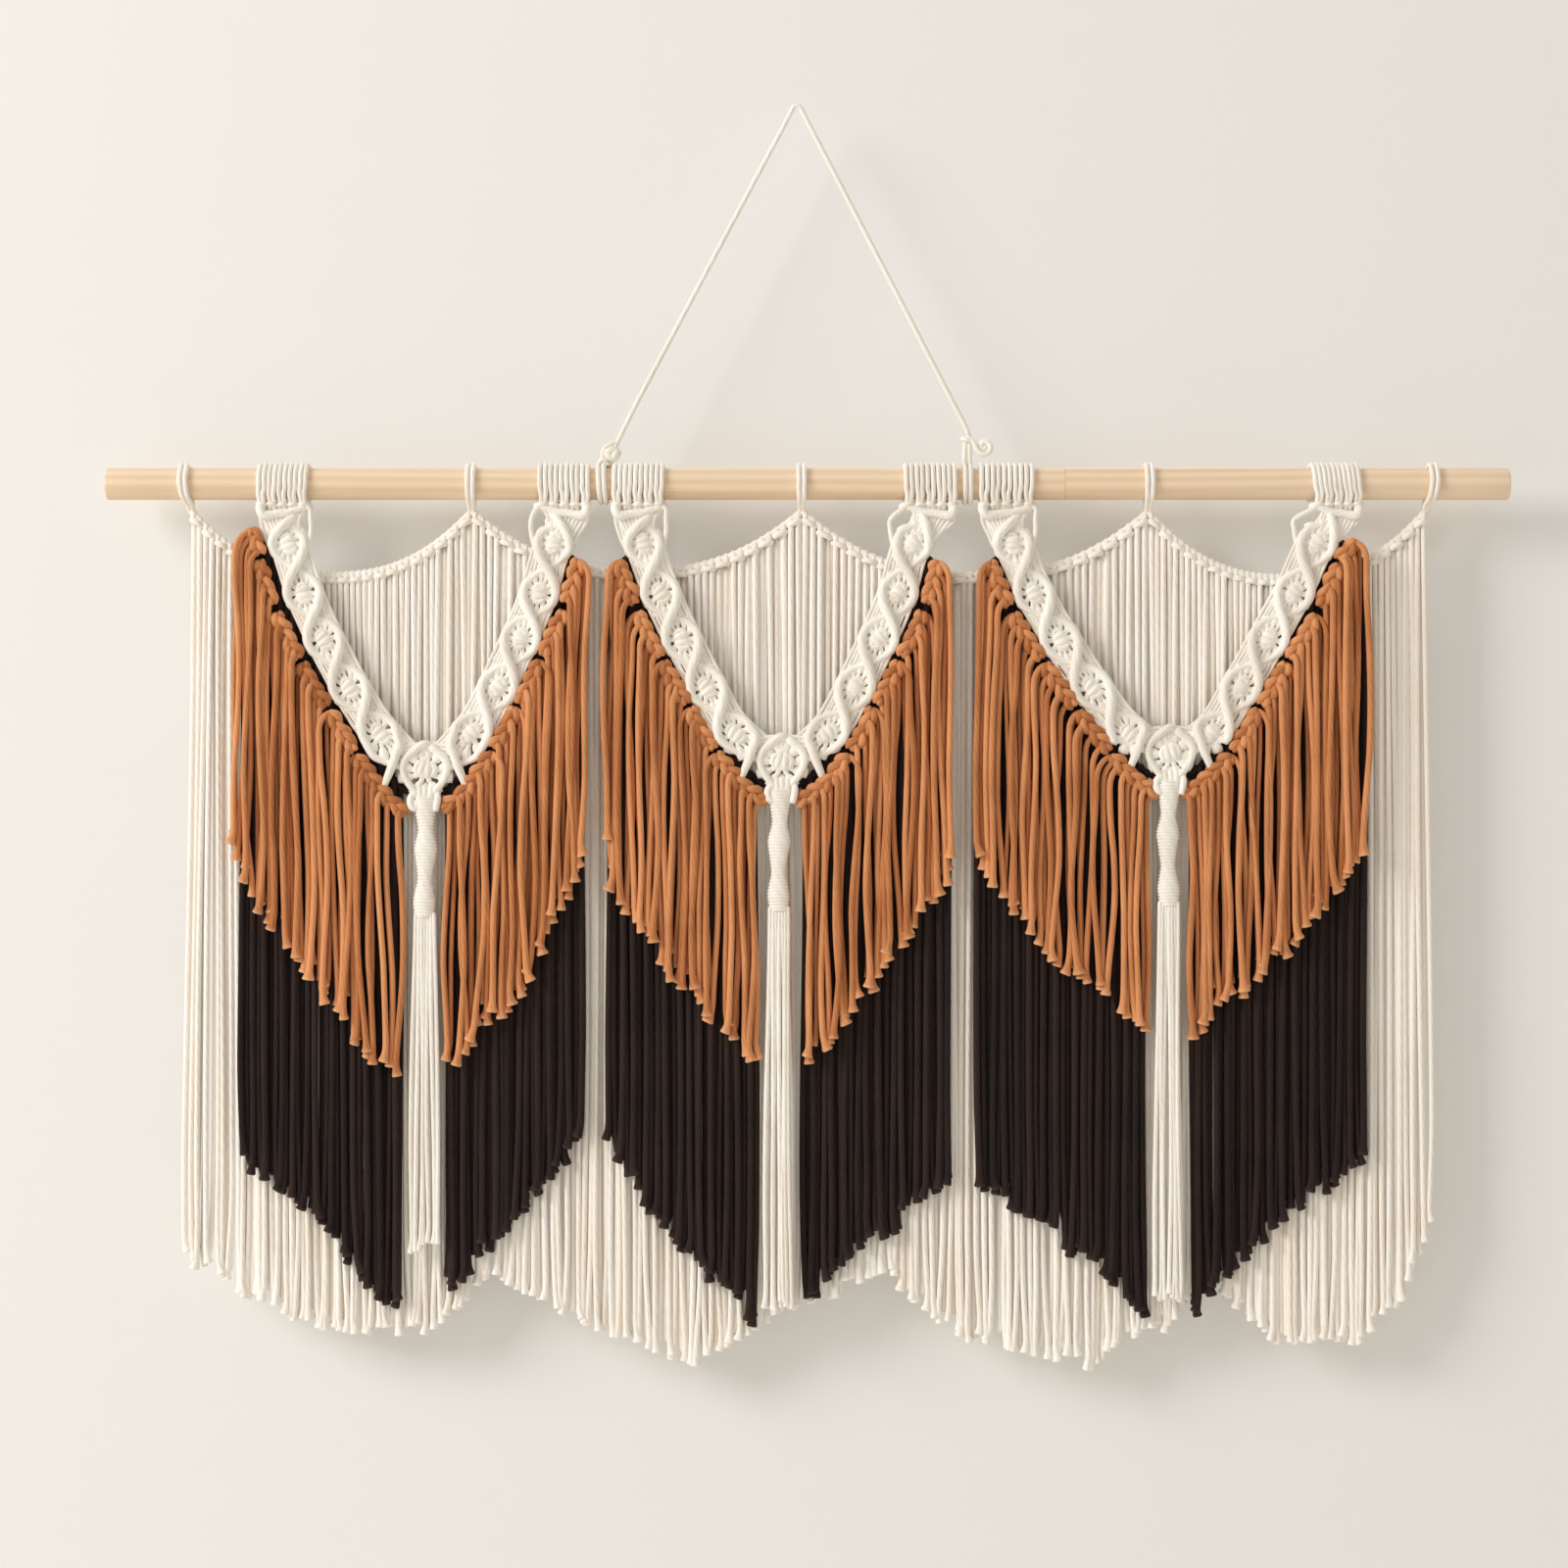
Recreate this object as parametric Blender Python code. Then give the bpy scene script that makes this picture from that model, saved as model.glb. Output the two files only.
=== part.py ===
"""Macrame wall hanging on a wooden dowel, hung by one cord from a nail.

Origin: the middle of the hanger's bend, where it lies on its nail. +X is to the right, -Y
towards the viewer and +Z up, so the wall is on the +Y side. Sizes here are in millimetres,
and MM turns them into metres as each mesh is made.
"""

import math
import random
from collections import namedtuple

import bmesh
import bpy
from mathutils import Vector

MM = 0.001
GAP = 0.3  # left between pieces that touch
SHARP = math.radians(50)

# Rod, with every loop around it
CORD = 4.0
ROD_DIAMETER = 25.0
ROD_LENGTH = 1100.0
ROD_X = 8.5  # its middle, a little right of the nail
ROD_Z = -300.0
ROD_SIDES = 24
ROD_EASE = 1.2
WRAP_RISE = 1.7  # radius in the valley between two cords of a wrap, over its inner radius

# Depth of each layer, from the wall side to the viewer
BACK_Y = 5.0
BACK_DEPTH = 8.0
DARK_Y = -3.2
DARK_DEPTH = 4.0
BAND_BACK_Y = -5.5
RUST_Y = -10.2
RUST_DEPTH = 9.4
TASSEL_Y = -10.5

# Knotted band: a chain of diamonds, each a pair of ridge cords round one square knot
DIAMONDS = 5  # on each arm, and one more where the arms meet
CHAIN = 2 * DIAMONDS + 1
BAR_UNIT = 0.3  # the bar's share of a diamond, where the band's middle line starts
DIAMOND_Z = (-347.0, -386.0, -422.0, -460.0, -496.0)
BAR_TOP_Z = -313.0
BAR_Z = -322.5
BAR_END_Z = -328.0
BAR_HEIGHT = 9.0
SEAM_HEIGHT = 5.5
NECK = 3.2  # half the spacing of the ridge cords where they cross
BELLY = 12.6  # and where they are furthest apart
RIDGE = 3.6  # half the width of a ridge cord
RIDGE_HEIGHT = 8.6
NET_HEIGHT = 3.6
SIDE_HEIGHT = 3.2
SIDE_REACH = 15.0  # how far out the straight strands of the inner edge run
HEADING_REACH = 19.0  # half the band's width just under the bar
CROSSING_REACH = 7.0  # and on its outer side where the ridge cords cross
TURN = 0.6  # diamonds below the bar over which level rows turn to lie across the arm
KNOT_HALF = 4.8
KNOT_HEIGHT = 8.0
ROWS = (0.0, 0.2, 0.4, 0.6, 0.8)  # sections along one diamond

# Fringe
RUST_STRANDS = 15
RUST_KNOT = 6.0  # half the width of a square knot
RUST_DROP = 8.0  # how much further out the knots run under the last diamond
RUST_CLUSTER = 3  # knots in a cluster
RUST_STRAND = (5.4, 3.8)  # width and depth
RUST_LAYERS = (-12.3, -8.0)  # they hang alternately in front and behind
RUST_PITCH = 3.8  # least spacing from strand to strand
DARK_STRANDS = 13
DARK_OFFSET = 7.5  # its strip is this much nearer the band than the rust knots
DARK_HALF = 4.8
DARK_STRAND = (6.6, 3.6)
DARK_PITCH = 8.4
BACK_STRANDS = 23
BACK_STRAND = (6.6, 4.2)
CARRIER = 9.4
TASSEL_STRANDS = 5
END_FLARE = 1.25
SWAY = 0.6
CLEAR = 1.0  # knotted strands hang at least this far outside their root
UNEVEN = 4.0  # how far a strand's end strays from its hem line

Panel = namedtuple("Panel", "x z pendant_x tassel_z end_z")
PANELS = (
    Panel(-290.7, -525.4, -290.7, -640.0, -898.0),
    Panel(-11.5, -519.3, -13.8, -635.0, -943.0),
    Panel(292.2, -512.4, 290.7, -631.0, -936.0),
)

# One row for each arm. top, middle and low are the x of diamonds 1, 3 and 5. first is where
# the rust knots start, counted in diamonds from the bar, and knots their distance from the
# middle of the band.
Arm = namedtuple("Arm", "panel side heading width top middle low first knots")
ARMS = (
    Arm(0, "left", -402.3, 40.6, -398.0, -370.0, -326.0, 0.25, 25.0),
    Arm(0, "right", -181.8, 41.4, -190.0, -216.0, -255.0, 0.75, 22.6),
    Arm(1, "left", -124.3, 41.4, -120.0, -90.0, -48.0, 0.75, 23.0),
    Arm(1, "right", 104.7, 42.2, 91.0, 64.0, 24.0, 0.75, 22.6),
    Arm(2, "left", 163.8, 43.7, 169.0, 206.0, 260.0, 0.80, 22.6),
    Arm(2, "right", 423.5, 38.0, 407.0, 369.0, 324.0, 0.25, 25.0),
)

# Where the ends of each fringe lie: x of its outer and inner side, and z of its ends on the
# outer side, a tenth, a half and the whole of the way in.
Hem = namedtuple("Hem", "outer inner z0 z1 z5 z10")
Layer = namedtuple("Layer", "first offset strand pitch knotted seed")
HEM_STOPS = (0.0, 0.1, 0.5, 1.0)
RUST_HEMS = (
    Hem(-441.5, -307.5, -570.0, -612.0, -688.0, -770.0),
    Hem(-168.0, -275.5, -585.0, -612.0, -690.0, -758.0),
    Hem(-150.0, -31.5, -575.0, -622.0, -688.0, -755.0),
    Hem(124.0, 4.0, -585.0, -612.0, -682.0, -752.0),
    Hem(140.5, 275.5, -588.0, -608.0, -672.0, -730.0),
    Hem(446.0, 308.5, -582.0, -600.0, -668.0, -731.0),
)
DARK_HEMS = (
    Hem(-434.0, -308.5, -818.0, -840.0, -884.0, -951.0),
    Hem(-168.0, -275.5, -808.0, -826.0, -876.0, -938.0),
    Hem(-149.0, -31.5, -816.0, -838.0, -898.0, -957.0),
    Hem(122.0, 4.0, -842.0, -855.0, -891.0, -944.0),
    Hem(140.0, 275.5, -842.0, -854.0, -892.0, -948.0),
    Hem(442.0, 308.0, -818.0, -838.0, -880.0, -951.0),
)

# Ties: x on the rod, how far the foot leans, and the height of the carrier under it
Tie = namedtuple("Tie", "x lean z")
TIES = (
    Tie(-480.0, 4.0, -322.0),
    Tie(-255.4, 0.0, -322.5),
    Tie(3.8, 0.0, -322.5),
    Tie(276.1, 0.0, -323.0),
    Tie(498.6, -4.0, -322.0),
)
SWAG_LOW_Z = (-373.0, -370.0, -373.0, -375.0)

# The lower edge of the back layer
BackHem = namedtuple("BackHem", "x z")
BACK_HEM = (
    BackHem(-487.0, -890.0),
    BackHem(-458.0, -922.0),
    BackHem(-385.0, -962.0),
    BackHem(-300.0, -967.0),
    BackHem(-238.0, -922.0),
    BackHem(-160.0, -961.0),
    BackHem(-80.0, -988.0),
    BackHem(-5.0, -950.0),
    BackHem(65.0, -918.0),
    BackHem(149.0, -978.0),
    BackHem(228.0, -993.0),
    BackHem(286.0, -963.0),
    BackHem(322.0, -926.0),
    BackHem(390.0, -981.0),
    BackHem(440.0, -975.0),
    BackHem(480.0, -930.0),
    BackHem(500.0, -874.0),
)

# Knotted pendant: distance below its top as a share of its length, and its width
Bulge = namedtuple("Bulge", "share width")
PENDANT = (
    Bulge(0.0, 11.0),
    Bulge(0.10, 17.0),
    Bulge(0.35, 9.5),
    Bulge(0.49, 18.4),
    Bulge(0.67, 11.5),
    Bulge(0.85, 17.6),
    Bulge(1.0, 13.0),
)
PENDANT_DEPTH = 0.62  # share of its width
TASSEL_WIDTH = 22.0
TASSEL_DEPTH = 8.0

# Hanger, from its left knot over the nail to its right one, in x and z
HANGER_ROUTE = (
    (-141.3, -268.2),
    (-137.0, -259.4),
    (-124.0, -233.4),
    (-104.0, -195.6),
    (-84.0, -157.9),
    (-64.0, -120.2),
    (-44.0, -82.6),
    (-24.0, -45.0),
    (-11.0, -20.6),
    (-5.4, -9.8),
    (-2.9, -4.9),
    (-1.6, -2.9),
    (0.0, -2.1),
    (1.7, -2.9),
    (3.1, -5.0),
    (5.6, -10.0),
    (11.6, -21.6),
    (25.0, -47.4),
    (45.0, -86.0),
    (65.0, -124.6),
    (85.0, -163.2),
    (105.0, -201.9),
    (121.0, -232.9),
    (131.4, -252.8),
    (135.4, -262.8),
)
HANGER_POINTS = 60
HITCH_LEFT_X = -152.6
HITCH_RIGHT_X = 133.6
KNOT_BALL = 7.0


def clear_scene():
    for old in list(bpy.data.objects):
        bpy.data.objects.remove(old, do_unlink=True)


def make_material(name, colour, roughness):
    material = bpy.data.materials.new(name)
    material.use_nodes = True
    shader = material.node_tree.nodes["Principled BSDF"]
    shader.inputs["Base Color"].default_value = (*colour, 1.0)
    shader.inputs["Roughness"].default_value = roughness
    shader.inputs["Metallic"].default_value = 0.0
    material.diffuse_color = (*colour, 1.0)
    return material


def add_solid(name, solid, material, origin=(0.0, 0.0, 0.0)):
    """An object from the points (mm, about its origin) and faces of a closed solid."""
    points, faces = solid
    mesh = bpy.data.meshes.new(name)
    mesh.from_pydata([Vector(p) * MM for p in points], [], faces)
    shell = bmesh.new()
    shell.from_mesh(mesh)
    bmesh.ops.recalc_face_normals(shell, faces=shell.faces)
    shell.to_mesh(mesh)
    shell.free()
    mesh.materials.append(material)
    mesh.shade_smooth()
    mesh.set_sharp_from_angle(angle=SHARP)
    obj = bpy.data.objects.new(name, mesh)
    obj.location = Vector(origin) * MM
    bpy.context.collection.objects.link(obj)
    return obj


def fuse(obj, solids, origin=(0.0, 0.0, 0.0)):
    """Union of an object with more solids, each kept as a hidden guide."""
    for number, solid in enumerate(solids):
        guide = add_solid(f"{obj.name}_guide_{number}", solid, obj.data.materials[0], origin)
        guide.hide_render = True
        guide.display_type = "WIRE"
        union = obj.modifiers.new(f"fuse {number}", "BOOLEAN")
        union.operation = "UNION"
        union.solver = "EXACT"
        union.object = guide
    return obj


def loft(sections, ring=False):
    """A solid through sections of equal length: capped at its ends, or closed to a ring."""
    count = len(sections[0])
    points = [p for section in sections for p in section]
    rows = len(sections)
    faces = []
    for row in range(rows if ring else rows - 1):
        here = row * count
        there = (row + 1) % rows * count
        for i in range(count):
            j = (i + 1) % count
            faces.append((here + i, here + j, there + j, there + i))
    if not ring:
        faces.append(tuple(range(count)))
        faces.append(tuple(range(len(points) - count, len(points))))
    return points, faces


def tube(route, radius, sides=6, flat=1.0):
    """A solid tube along a list of points; flat squeezes it in Y."""
    route = [Vector(p) for p in route]
    sections = []
    for i, point in enumerate(route):
        along = (route[min(i + 1, len(route) - 1)] - route[max(i - 1, 0)]).normalized()
        side = along.cross(Vector((0, 1, 0))).normalized()
        front = side.cross(along)
        section = []
        for k in range(sides):
            turn = 2 * math.pi * (k + 0.5) / sides
            section.append(
                point + side * radius * math.cos(turn) + front * radius * flat * math.sin(turn)
            )
        sections.append(section)
    return loft(sections)


def ball(centre, radius, sides=8, rows=4):
    """A knot's round body, turned about Z."""
    sections = []
    for row in range(rows + 1):
        rise = math.pi * (0.12 + 0.76 * row / rows)
        level = centre[2] + radius * math.cos(rise) / math.cos(math.pi * 0.12)
        wide = radius * math.sin(rise)
        section = []
        for k in range(sides):
            turn = 2 * math.pi * k / sides
            section.append(
                (centre[0] + wide * math.cos(turn), centre[1] + wide * math.sin(turn), level)
            )
        sections.append(section)
    return loft(sections)


def curve_at(knots, points, u):
    """A smooth curve through points at the given knots, and its direction."""
    i = 0
    while i < len(knots) - 2 and u > knots[i + 1]:
        i += 1
    slopes = []
    for k in (i, i + 1):
        before = max(k - 1, 0)
        after = min(k + 1, len(points) - 1)
        slopes.append((points[after] - points[before]) / (knots[after] - knots[before]))
    span = knots[i + 1] - knots[i]
    t = (u - knots[i]) / span
    place = (
        points[i] * (2 * t**3 - 3 * t**2 + 1)
        + slopes[0] * span * (t**3 - 2 * t**2 + t)
        + points[i + 1] * (3 * t**2 - 2 * t**3)
        + slopes[1] * span * (t**3 - t**2)
    )
    along = (
        points[i] * (6 * t**2 - 6 * t) / span
        + slopes[0] * (3 * t**2 - 4 * t + 1)
        + points[i + 1] * (6 * t - 6 * t**2) / span
        + slopes[1] * (3 * t**2 - 2 * t)
    )
    return place, along.normalized()


def mix(a, b, share):
    return a + (b - a) * share


def step_between(stops, values, share):
    """Straight interpolation of values given at rising stops."""
    share = min(max(share, stops[0]), stops[-1])
    for k in range(len(stops) - 1):
        if share <= stops[k + 1]:
            break
    return mix(values[k], values[k + 1], (share - stops[k]) / (stops[k + 1] - stops[k]))


def arm_points(arm):
    """Middle of the band, from the bar down to diamond 5: a parabola through three of them."""
    points = [Vector((arm.heading, BAR_Z)), Vector((arm.heading, BAR_END_Z))]
    for k in range(DIAMONDS):
        near = (k - 2) * (k - 4) / 8
        mid = -k * (k - 4) / 4
        far = k * (k - 2) / 8
        x = arm.top * near + arm.middle * mid + arm.low * far
        points.append(Vector((x, DIAMOND_Z[k])))
    return points


def band_curve(panel):
    """Knots and points of the whole V, left bar to right bar, one unit for each diamond."""
    left, right = (arm for arm in ARMS if arm.panel == panel)
    middle = Vector((PANELS[panel].x, PANELS[panel].z))
    points = arm_points(left) + [middle] + arm_points(right)[::-1]
    knots = [-BAR_UNIT, 0.0] + [k + 0.5 for k in range(CHAIN)] + [CHAIN, CHAIN + BAR_UNIT]
    return knots, points


def beside_band(arm, u, offset):
    """A point beside an arm's middle, offset to its outer side, and the outward direction."""
    knots, points = band_curve(arm.panel)
    if arm.side == "right":
        u = CHAIN - u
    place, along = curve_at(knots, points, u)
    outward = Vector((along.y, -along.x))
    return place + outward * offset, outward


def band_section(place, outward, columns):
    section = []
    for offset, height in columns:
        point = place + outward * offset
        section.append((point.x, BAND_BACK_Y - height, point.y))
    return section


def flat_columns(half, height):
    """A plain row across the heading, with as many points as a diamond's row."""
    inner = [(-half, 0.0), (-half, height)]
    between = [(half * share, height) for share in (-0.6, -0.35, -0.12, 0.12, 0.35, 0.6)]
    return inner + between + [(half, height), (half, 0.0)]


def diamond_columns(share, inner_reach, outer_reach):
    """Offsets and heights across one diamond; share runs 0 to 1 from crossing to crossing."""
    open_out = math.sin(math.pi * share)
    crest = mix(NECK, BELLY, open_out)
    foot = max(crest - 1.4 * RIDGE, 1.6)
    knot = mix(0.5, KNOT_HALF, open_out)
    net = mix(RIDGE_HEIGHT, NET_HEIGHT, min(1.0, 2 * open_out))
    rise = KNOT_HEIGHT if abs(share - 0.5) < 0.2 else net
    inner = max(inner_reach, crest + RIDGE)
    outer = max(outer_reach, crest + RIDGE)
    return [
        (-inner, 0.0),
        (-inner, SIDE_HEIGHT),
        (-crest, RIDGE_HEIGHT),
        (-foot, net),
        (-knot, rise),
        (knot, rise),
        (foot, net),
        (crest, RIDGE_HEIGHT),
        (outer, SIDE_HEIGHT),
        (outer, 0.0),
    ]


def heading_rows(arm):
    """The rows above the first diamond: under the rod, the seam, the bar and its lower seam."""
    down = Vector((0.0, -1.0))
    outward = Vector((down.y, -down.x))
    top_half = arm.width / 2
    rows = (
        (BAR_TOP_Z, top_half - 0.8, SEAM_HEIGHT),
        (BAR_Z + 4.4, top_half, SEAM_HEIGHT),
        (BAR_Z + 1.8, top_half + 0.8, BAR_HEIGHT),
        (BAR_Z - 2.6, top_half + 0.8, BAR_HEIGHT),
        (BAR_END_Z, top_half - 0.5, SEAM_HEIGHT),
    )
    sections = []
    for level, half, height in rows:
        place = Vector((arm.heading, level))
        sections.append(band_section(place, outward, flat_columns(half, height)))
    return sections


def band_solid(panel):
    left, right = (arm for arm in ARMS if arm.panel == panel)
    knots, points = band_curve(panel)
    sections = heading_rows(left)
    for diamond in range(CHAIN):
        for share in ROWS:
            u = diamond + share
            if u == 0.0:
                continue
            place, along = curve_at(knots, points, u)
            turned = min(1.0, min(u, CHAIN - u) / TURN)
            level = Vector((-1.0 if u < CHAIN / 2 else 1.0, 0.0))
            outward = level.lerp(Vector((along.y, -along.x)), turned).normalized()
            wide = mix(HEADING_REACH, CROSSING_REACH, turned)
            columns = diamond_columns(share, max(SIDE_REACH, wide), wide)
            sections.append(band_section(place, outward, columns))
    # The right heading's rows run downwards too, so both their orders are turned round.
    for section in heading_rows(right)[::-1]:
        sections.append(section[::-1])
    return loft(sections)


def wrap_ring(x, width, cords, sides):
    """Cords side by side round the rod: flat inside, one ridge for each cord outside."""
    inner = (ROD_DIAMETER / 2 + GAP) / math.cos(math.pi / sides)
    pitch = width / cords
    profile = [(x - width / 2, inner)]
    for cord in range(cords):
        start = x - width / 2 + cord * pitch
        if cord:
            profile.append((start, inner + WRAP_RISE))
        profile.append((start + pitch / 2, inner + CORD))
    profile.append((x + width / 2, inner))
    sections = []
    for k in range(sides):
        turn = 2 * math.pi * (k + 0.5) / sides
        sections.append(
            [(px, -r * math.cos(turn), ROD_Z + r * math.sin(turn)) for px, r in profile]
        )
    return loft(sections, ring=True)


def ring_at(x, y, z, half_width, half_depth, outer_side):
    """Four corners of a strand, its outer pair at the outer side."""
    out = half_width * outer_side
    return [
        (x + out, y - half_depth, z),
        (x - out, y - half_depth, z),
        (x - out, y + half_depth, z),
        (x + out, y + half_depth, z),
    ]


def fringe_solid(strip, strands, per_strand):
    """A backing strip with strands grown from its lower side.

    strip: sections of four points, upper front, upper back, lower back and lower front.
    strands: for each one, its rings of four points, from the strip down to its end. A strand
    is rooted in per_strand stretches of the strip.
    """
    points = []
    faces = []

    def add(ring):
        points.extend(ring)
        return list(range(len(points) - 4, len(points)))

    rows = [add(section) for section in strip]
    faces.append(rows[0])
    faces.append(rows[-1])
    for here, there in zip(rows, rows[1:]):
        for i, j in ((0, 1), (1, 2), (3, 0)):
            faces.append((here[i], here[j], there[j], there[i]))
    for number, rings in enumerate(strands):
        start = number * per_strand
        root = rows[start : start + per_strand + 1]
        first = add(rings[0])
        faces.append([row[3] for row in root] + [first[1], first[0]])
        faces.append([row[2] for row in root] + [first[2], first[3]])
        faces.append((root[0][3], root[0][2], first[3], first[0]))
        faces.append((root[-1][3], root[-1][2], first[2], first[1]))
        above = first
        for ring in rings[1:]:
            below = add(ring)
            for i in range(4):
                j = (i + 1) % 4
                faces.append((above[i], above[j], below[j], below[i]))
            above = below
        faces.append(above)
    return points, faces


def strip_section(place, outward, half_up, half_down, y, half_depth):
    """A section of a backing strip that runs along a sloping edge."""
    upper = place - outward * half_up
    lower = place + outward * half_down
    return [
        (upper.x, y - half_depth, upper.y),
        (upper.x, y + half_depth, upper.y),
        (lower.x, y + half_depth, lower.y),
        (lower.x, y - half_depth, lower.y),
    ]


def hem_z(hem, share):
    return step_between(HEM_STOPS, (hem.z0, hem.z1, hem.z5, hem.z10), share)


def knot_size(k):
    """Half the width and depth of the rust strip: a knot at odd k, a neck at even k."""
    if k % 2:
        return RUST_KNOT, RUST_DEPTH / 2
    if k // 2 % RUST_CLUSTER == 0:
        return 2.4, 2.4
    return 4.0, 3.4


def strip_stops(arm, first, last, count, offset, even):
    """Where a strip's sections lie along the arm: evenly, or evenly in x."""
    if not even:
        return [mix(first, last, k / count) for k in range(count + 1)]
    fine = 200
    stops = [mix(first, last, k / fine) for k in range(fine + 1)]
    across = [beside_band(arm, u, offset)[0].x for u in stops]
    sign = 1.0 if across[-1] > across[0] else -1.0
    rising = [sign * x for x in across]
    wanted = [mix(rising[0], rising[-1], k / count) for k in range(count + 1)]
    return [step_between(rising, stops, x) for x in wanted]


def side_fringe(arm, hem, count, layer):
    """The rust or dark fringe of one arm: its strip follows the arm, its strands hang down."""
    rng = random.Random(layer.seed)
    outer_side = -1.0 if arm.side == "left" else 1.0
    last = DIAMONDS + 0.28
    per_strand = 2 if layer.knotted else 1
    stops = strip_stops(
        arm, layer.first, last, count * per_strand, layer.offset, not layer.knotted
    )
    strip = []
    for k, u in enumerate(stops):
        out = layer.offset + RUST_DROP * max(0.0, (u - DIAMONDS + 1) / 1.28) ** 2
        place, outward = beside_band(arm, u, out)
        half, half_depth = DARK_HALF, DARK_DEPTH / 2
        middle = DARK_Y
        if layer.knotted:
            half, half_depth = knot_size(k)
            middle = RUST_Y + RUST_DEPTH / 2 - half_depth
        strip.append(strip_section(place, outward, half, half, middle, half_depth))

    roots = []
    for k in range(count):
        start = strip[k * per_strand]
        stop = strip[(k + 1) * per_strand]
        middle = strip[k * per_strand + 1] if layer.knotted else start
        root_x = middle[2][0] if layer.knotted else (start[2][0] + stop[2][0]) / 2
        root_z = middle[2][2] if layer.knotted else (start[2][2] + stop[2][2]) / 2
        roots.append((root_x, root_z))

    # Outward from the middle, each strand keeps clear of its root and of the one before
    places = [0.0] * count
    reach = -math.inf
    for k in range(count - 1, -1, -1):
        wanted = outer_side * mix(hem.outer, hem.inner, (k + 0.5) / count)
        beside = outer_side * roots[k][0] + (CLEAR if layer.knotted else 0.0)
        reach = max(wanted, beside, reach + layer.pitch)
        places[k] = outer_side * reach

    strands = []
    wide, deep = layer.strand[0] / 2, layer.strand[1] / 2
    for k, (root_x, root_z) in enumerate(roots):
        x = places[k]
        y = RUST_LAYERS[k % 2] if layer.knotted else DARK_Y
        end_x = x + rng.uniform(-SWAY, SWAY)
        end_z = hem_z(hem, (k + 0.5) / count) + rng.uniform(-UNEVEN, UNEVEN)
        rings = []
        if layer.knotted:
            rings.append(ring_at(mix(root_x, x, 0.8), y, root_z - 3.5, wide, deep, outer_side))
        rings.append(ring_at(x, y, root_z - 15.0, wide, deep, outer_side))
        rings.append(ring_at(end_x, y, end_z, wide * END_FLARE, deep, outer_side))
        strands.append(rings)
    return fringe_solid(strip, strands, per_strand)


def back_swag(number):
    """One hanging carrier with its strands."""
    left, right = TIES[number], TIES[number + 1]
    start = left.x + (left.lean - CORD if number == 0 else left.lean + GAP / 2)
    stop = right.x + (right.lean + CORD if number == len(TIES) - 2 else right.lean - GAP / 2)
    rng = random.Random(40 + number)
    low = SWAG_LOW_Z[number]

    def level(share):
        peak = mix(left.z, right.z, share)
        sag = 1 - (2 * share - 1) ** 2
        return peak + (low - (left.z + right.z) / 2) * sag

    strip = []
    for k in range(BACK_STRANDS + 1):
        share = k / BACK_STRANDS
        half = CARRIER / 2 if k % 2 else CARRIER / 2 - 1.2
        depth = BACK_DEPTH / 2 if k % 2 else BACK_DEPTH / 2 - 0.9
        place = Vector((mix(start, stop, share), level(share)))
        strip.append(strip_section(place, Vector((0.0, -1.0)), half, half, BACK_Y, depth))
    strands = []
    hem_x = [row.x for row in BACK_HEM]
    hem_level = [row.z for row in BACK_HEM]
    for k in range(BACK_STRANDS):
        share = (k + 0.5) / BACK_STRANDS
        x = mix(start, stop, share)
        end_x = x + rng.uniform(-SWAY, SWAY)
        end_z = step_between(hem_x, hem_level, x) + rng.uniform(-UNEVEN, UNEVEN)
        wide, deep = BACK_STRAND[0] / 2, BACK_STRAND[1] / 2
        strands.append(
            [
                ring_at(x, BACK_Y, level(share) - CARRIER / 2 - 5.0, wide, deep, -1.0),
                ring_at(end_x, BACK_Y, end_z, wide * END_FLARE, deep, -1.0),
            ]
        )
    return fringe_solid(strip, strands, 1)


def band_foot(number, x):
    """The height of the band's lower edge under the V, at x."""
    knots, points = band_curve(number)
    edge = []
    for share in ROWS[2], ROWS[3]:
        place, along = curve_at(knots, points, DIAMONDS + share)
        reach = mix(NECK, BELLY, math.sin(math.pi * share)) + RIDGE
        edge.append(place + Vector((along.y, -along.x)) * reach)
    share = (x - edge[0].x) / (edge[1].x - edge[0].x)
    return mix(edge[0].y, edge[1].y, min(max(share, 0.0), 1.0))


def pendant_solid(number):
    """The knotted cord above a tassel, eight-sided, with its three bulges."""
    panel = PANELS[number]
    top = band_foot(number, panel.pendant_x) - GAP
    length = top - panel.tassel_z
    sections = []
    for bulge in PENDANT:
        half = bulge.width / 2
        deep = half * PENDANT_DEPTH + 1.5
        level = top - length * bulge.share
        section = []
        for k in range(8):
            turn = 2 * math.pi * (k + 0.5) / 8
            reach = 1 / math.cos(math.pi / 8)
            section.append(
                (
                    panel.pendant_x + half * reach * math.cos(turn),
                    TASSEL_Y + deep * reach * math.sin(turn),
                    level,
                )
            )
        sections.append(section)
    return loft(sections)


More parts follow.
